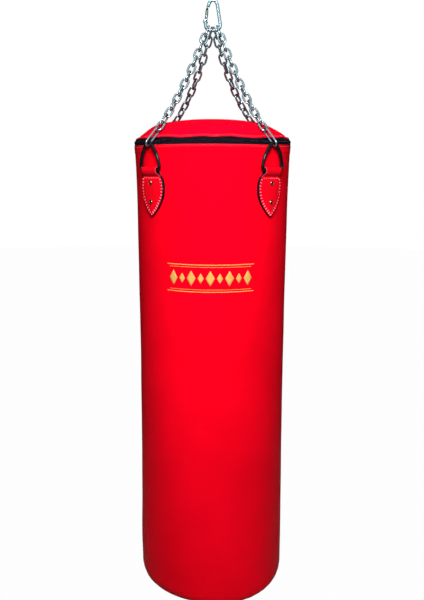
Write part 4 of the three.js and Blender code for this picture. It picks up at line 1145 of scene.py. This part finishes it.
# ---------------------------------------------------------------- lid
# the cover as it is sewn, before the foam under it pushes it up, and how far the middle of each ring then rises and spreads
LID = [(195.6, 17.6), (196.2, 18.6), (195.8, 20.0), (194.0, 21.2), (191.0, 22.6), (188.3, 23.2), (186.2, 23.6), (181, 25.4), (173, 31.0), (165, 36.2),
       (157, 40.7), (149, 44.4), (141, 47.4), (126, 50.7), (110, 53.4), (92, 55.9), (75, 57.8), (55, 59.1), (35, 59.8), (16, 60.0), (5, 60.0)]
lid_prof = np.array(LID)


def lid_grid(prof, cols):
    a = np.arange(cols) / cols * TAU
    A, K = np.meshgrid(a, np.arange(len(prof)), indexing="ij")
    return A, K, prof[:, 0][K], prof[:, 1][K]


def simulate_lid():
    """Cloth under pressure over the foam pad, held at its rim: returns how far each grid point moved."""
    cols = 96
    A, K, r, z = lid_grid(lid_prof, cols)
    rng = np.random.default_rng(5)
    z = z + rng.normal(0, 0.12, z.shape) * (K > 4)
    P = np.stack([r * np.sin(A), -r * np.cos(A), z], -1)
    n = len(lid_prof)
    faces = []
    for i in range(cols):
        j = (i + 1) % cols
        for k in range(n - 1):
            faces.append((i * n + k, i * n + k + 1, j * n + k + 1, j * n + k))
    verts = P.reshape(-1, 3).tolist() + [[0, 0, float(lid_prof[-1, 1]) + 0.1]]
    for i in range(cols):
        faces.append((i * n + n - 1, cols * n, ((i + 1) % cols) * n + n - 1))
    ob = make("lid_cloth", verts, faces, [], None, sharp=0)
    g = ob.vertex_groups.new(name="pin")
    g.add([i * n + k for i in range(cols) for k in range(6)], 1.0, "REPLACE")
    mod = ob.modifiers.new("cloth", "CLOTH")
    cs = mod.settings
    cs.vertex_group_mass = "pin"
    cs.quality = 6
    cs.mass = 0.3
    cs.tension_stiffness = cs.compression_stiffness = 12
    cs.shear_stiffness = 4
    cs.bending_stiffness = 0.25
    cs.use_pressure = True
    cs.uniform_pressure_force = 3.0
    cs.shrink_min = -0.022
    cs.effector_weights.gravity = 0.0
    mod.collision_settings.use_collision = False
    mod.point_cache.frame_start, mod.point_cache.frame_end = 1, 22
    for fr in range(1, 21):
        scene.frame_set(fr)
    dg = bpy.context.evaluated_depsgraph_get()
    ev = ob.evaluated_get(dg)
    co = np.array([v.co for v in ev.data.vertices]) / MM
    scene.frame_set(1)
    bpy.data.objects.remove(ob)
    move = (co[:-1] - P.reshape(-1, 3)).reshape(cols, n, 3)
    size = np.linalg.norm(move, axis=-1, keepdims=True)
    return move * np.minimum(1.0, 5.0 / np.maximum(size, 1e-6))


COLS_LID = 288
A, K, r, z = lid_grid(lid_prof, COLS_LID)
P = np.stack([r * np.sin(A), -r * np.cos(A), z], -1)
mv = simulate_lid()
idx = A[:, 0] / TAU * 96
i0 = np.floor(idx).astype(int) % 96
fr = (idx - np.floor(idx))[:, None, None]
smooth_mv = mv[i0] * (1 - fr) + mv[(i0 + 1) % 96] * fr
P = P + smooth_mv
share = np.array([1.0, 1.0, 1.0, 0.9, 0.75, 0.6, 0.45, 0.25, 0.1] + [0.0] * (len(lid_prof) - 9))
P[..., 2] += hem_wave(A) * share[K] - hem_dip(A) * 0.75 * share[K]
P[..., :2] *= (1 - hem_wave(A) * share[K] * 0.35 / np.maximum(r, 1))[..., None]
# the shoulders are pressed a little lower at both sides
P[..., 2] -= 3.2 * np.exp(-((A - math.radians(80)) / 0.6) ** 2 - ((r - 158.0) / 26.0) ** 2) * (1 - share[K])
P[..., 2] -= 4.2 * np.exp(-((A - math.radians(276)) / 0.55) ** 2 - ((r - 178.0) / 22.0) ** 2) * (1 - share[K])
pucker = np.exp(-((np.arange(len(lid_prof)) - 5.5) / 2.0) ** 2)
P[..., 2] += (0.22 * np.sin(61 * A + 1.0) + 0.3 * np.sin(37 * A) * np.sin(5 * A)) * pucker[K]
P[..., 2] += ZIP_Z
P = P + pressed(P, 0.4)
n = len(lid_prof)
# underside, 2 mm below, joined at the rim
du = np.gradient(P, axis=1)
da_ = np.roll(P, -1, 0) - np.roll(P, 1, 0)
nrm = unit(np.cross(da_, du))
nrm[nrm[..., 2] < 0] *= -1
under = P - nrm * 2.0
under[..., 2] = np.minimum(under[..., 2], P[..., 2] - 0.4)
verts = np.concatenate([P.reshape(-1, 3), under.reshape(-1, 3), [[0, 0, P[:, -1, 2].mean() + 0.02], [0, 0, P[:, -1, 2].mean() - 2.0]]])
off = COLS_LID * n
faces = []
for i in range(COLS_LID):
    j = (i + 1) % COLS_LID
    for k in range(n - 1):
        faces.append((i * n + k, i * n + k + 1, j * n + k + 1, j * n + k))
        faces.append((off + i * n + k, off + j * n + k, off + j * n + k + 1, off + i * n + k + 1))
    faces.append((i * n, j * n, off + j * n, off + i * n))
    faces.append((i * n + n - 1, 2 * off, j * n + n - 1))
    faces.append((off + i * n + n - 1, off + j * n + n - 1, 2 * off + 1))
lid = make("lid_dome", verts, faces, M_LID, sharp=60)
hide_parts("lid_cover")

lid_tree = BVHTree.FromObject(lid, bpy.context.evaluated_depsgraph_get())
threads = []
n_st = 250
for k in range(n_st):
    p = []
    for s, h in ((0.1, -0.2), (0.28, 0.25), (0.45, 0.35), (0.6, 0.25), (0.76, -0.2)):
        aa = (k + s) / n_st * TAU
        rr = 194.2
        zz = 21.2 + float(hem_wave(aa)) * 0.85 - float(hem_dip(aa)) * 0.7
        o = np.array([rr * math.sin(aa), -rr * math.cos(aa), ZIP_Z + zz])
        o = o + pressed(o[None], 0.4)[0]
        d = Vector((math.sin(aa) * 0.6, -math.cos(aa) * 0.6, 0.8)).normalized()
        hit = lid_tree.ray_cast(Vector(o * MM) + d * 0.02, -d, 0.05)
        q = np.array(hit[0]) / MM if hit[0] is not None else o
        p.append(q + np.array(d) * h)
    threads.append(tube(p, 0.42 * np.array([0.5, 0.9, 1, 0.9, 0.5]), 6))
v, f = join(threads)
lid_thread = make("lid_hem_stitches", v, f, M_REDTHREAD, sharp=0)

# ---------------------------------------------------------------- zip slider, pull and end tab, at the back
def block(name, x, y, z, material, body, bevel):
    m = frame_of((1, 0, 0), (0, 1, 0), (0, 0, 1), ((x[0] + x[1]) / 2, (y[0] + y[1]) / 2, (z[0] + z[1]) / 2))
    return box_piece(name, (x[1] - x[0], y[1] - y[0], z[1] - z[0]), m, material, body, bevel)


Z0 = ZIP_Z
slider = block("slider_plate", (-7, 7), (201.7, 205.0), (Z0 + 4.5, Z0 + 14.1), [], None, 0.9)
boolean(slider, block("slider_channel", (-9, 9), (195, 203.2), (Z0 + 7.0, Z0 + 11.4), [], None, 0), "DIFFERENCE")
boolean(slider, block("slider_bail", (-1.5, 1.5), (204.6, 208.5), (Z0 + 5.1, Z0 + 13.1), [], None, 0.6), "UNION")
boolean(slider, block("slider_eye", (-4, 4), (205.4, 207.6), (Z0 + 6.3, Z0 + 11.9), [], None, 0.3), "DIFFERENCE")
slider.data.materials.clear()
slider.data.materials.append(M_RING)
slider.data.polygons.foreach_set("use_smooth", np.ones(len(slider.data.polygons), bool))
slider.data.set_sharp_from_angle(angle=math.radians(35))
slider.name = "slider"
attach(slider, "slider")
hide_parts("zip_slider")
bz, by = Z0 + 7.6, 206.5
pull = block("pull_plate", (-4, 4), (by - 0.65, by + 0.65), (bz - 27, bz + 0.65), [], None, 0.4)
boolean(pull, block("pull_slot", (-2.1, 2.1), (by - 3, by + 3), (bz - 5.2, bz - 0.65), [], None, 0.5), "DIFFERENCE")
boolean(pull, block("pull_window", (-2.0, 2.0), (by - 3, by + 3), (bz - 24.6, bz - 15.5), [], None, 1.2), "DIFFERENCE")
pull.data.materials.clear()
pull.data.materials.append(M_RING)
pull.data.polygons.foreach_set("use_smooth", np.ones(len(pull.data.polygons), bool))
pull.data.set_sharp_from_angle(angle=math.radians(35))
pull.name = "pull"
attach(pull, "pull")
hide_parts("zip_pull")
a = math.radians(187.2)
end_m = frame_of((math.cos(a), math.sin(a), 0), (0, 0, 1), (math.sin(a), -math.cos(a), 0), (203.4 * math.sin(a), -203.4 * math.cos(a), Z0 + 8.6))
end_tab = box_piece("end_tab", (18, 13.6, 1.6), end_m, M_TAPE, "bag", 0.6)
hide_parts("zip_end_tab")

# ---------------------------------------------------------------- inner pieces
for name, mat in (("filling", M_RAGS), ("foam_liner", M_FOAM), ("top_pad", M_FOAM)):
    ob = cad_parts[name]
    ob.data.materials.clear()
    ob.data.materials.append(mat)
    for s in ob.material_slots:
        s.material = mat

# ---------------------------------------------------------------- stage and light
WORLD_FILL, REFLECT_FRONT, REFLECT_BACK, REFLECT_LAMP = 0.05, 0.95, 0.02, 42.0
v, f = lathe([(0, -2150), (600, -2150), (3000, -2150), (14000, -2150), (14000, -2160), (0, -2160)], 96, False)
def studio_floor():
    """A pale studio floor, seen evenly lit, that throws only a little light back up."""
    m = bpy.data.materials.new("pale_floor")
    m.use_nodes = True
    nt = m.node_tree
    nt.nodes.clear()
    out = nt.nodes.new("ShaderNodeOutputMaterial")
    seen = node(nt, "ShaderNodeEmission", {"Color": (0.985, 0.985, 0.985, 1.0), "Strength": 1.0})
    lit = node(nt, "ShaderNodeBsdfDiffuse", {"Color": (0.30, 0.30, 0.30, 1.0)})
    rays = nt.nodes.new("ShaderNodeLightPath")
    mix = node(nt, "ShaderNodeMixShader", {0: rays.outputs["Is Camera Ray"]})
    nt.links.new(lit.outputs[0], mix.inputs[1])
    nt.links.new(seen.outputs[0], mix.inputs[2])
    nt.links.new(mix.outputs[0], out.inputs[0])
    return m


floor = make("floor", v, f, studio_floor(), None, merge=0.01)

world = bpy.data.worlds.new("studio")
scene.world = world
world.use_nodes = True
wn = world.node_tree
wn.nodes.clear()
wout = wn.nodes.new("ShaderNodeOutputWorld")
rays = wn.nodes.new("ShaderNodeLightPath")
# a wide bright card in front for reflections, with the dark of the studio behind
way = wn.nodes.new("ShaderNodeTexCoord")
facing = node(wn, "ShaderNodeVectorMath", {0: way.outputs["Generated"], 1: (0.0, -0.94, 0.34)}, operation="DOT_PRODUCT").outputs["Value"]
card = remap(wn, facing, REFLECT_BACK, REFLECT_FRONT, 0.18, 0.64)
lamp = node(wn, "ShaderNodeVectorMath", {0: way.outputs["Generated"], 1: (0.0, -0.890, 0.456)}, operation="DOT_PRODUCT").outputs["Value"]
card = maths(wn, "ADD", card, remap(wn, lamp, 0.0, REFLECT_LAMP, 0.984, 0.991))
wfill = node(wn, "ShaderNodeBackground", {"Color": (1.0, 1.0, 1.0, 1.0), "Strength": WORLD_FILL})
wcard = node(wn, "ShaderNodeBackground", {"Color": (0.96, 1.0, 1.0, 1.0), "Strength": card})
wseen = node(wn, "ShaderNodeBackground", {"Color": (1.0, 1.0, 1.0, 1.0), "Strength": 1.0})
wmix1 = node(wn, "ShaderNodeMixShader", {0: rays.outputs["Is Glossy Ray"]})
wmix2 = node(wn, "ShaderNodeMixShader", {0: rays.outputs["Is Camera Ray"]})
wn.links.new(wfill.outputs[0], wmix1.inputs[1])
wn.links.new(wcard.outputs[0], wmix1.inputs[2])
wn.links.new(wmix1.outputs[0], wmix2.inputs[1])
wn.links.new(wseen.outputs[0], wmix2.inputs[2])
wn.links.new(wmix2.outputs[0], wout.inputs[0])


def area(name, loc, target, size, power, colour=(1, 1, 1), size_y=None):
    d = bpy.data.lights.new(name, "AREA")
    d.energy, d.size, d.color = power, size, colour
    if size_y:
        d.shape, d.size_y = "RECTANGLE", size_y
    o = bpy.data.objects.new(name, d)
    scene.collection.objects.link(o)
    o.location = loc
    o.rotation_mode = "QUATERNION"
    o.rotation_quaternion = (Vector(target) - Vector(loc)).to_track_quat("-Z", "Y")
    return o


key = area("key", (0.05, -1.52, 0.26), (0, -0.2, -0.78), 0.55, 51.0)
key.visible_glossy = False
back = area("back", (0.25, 2.3, -0.25), (0, 0, -0.95), 1.4, 48.0)
back.visible_glossy = False
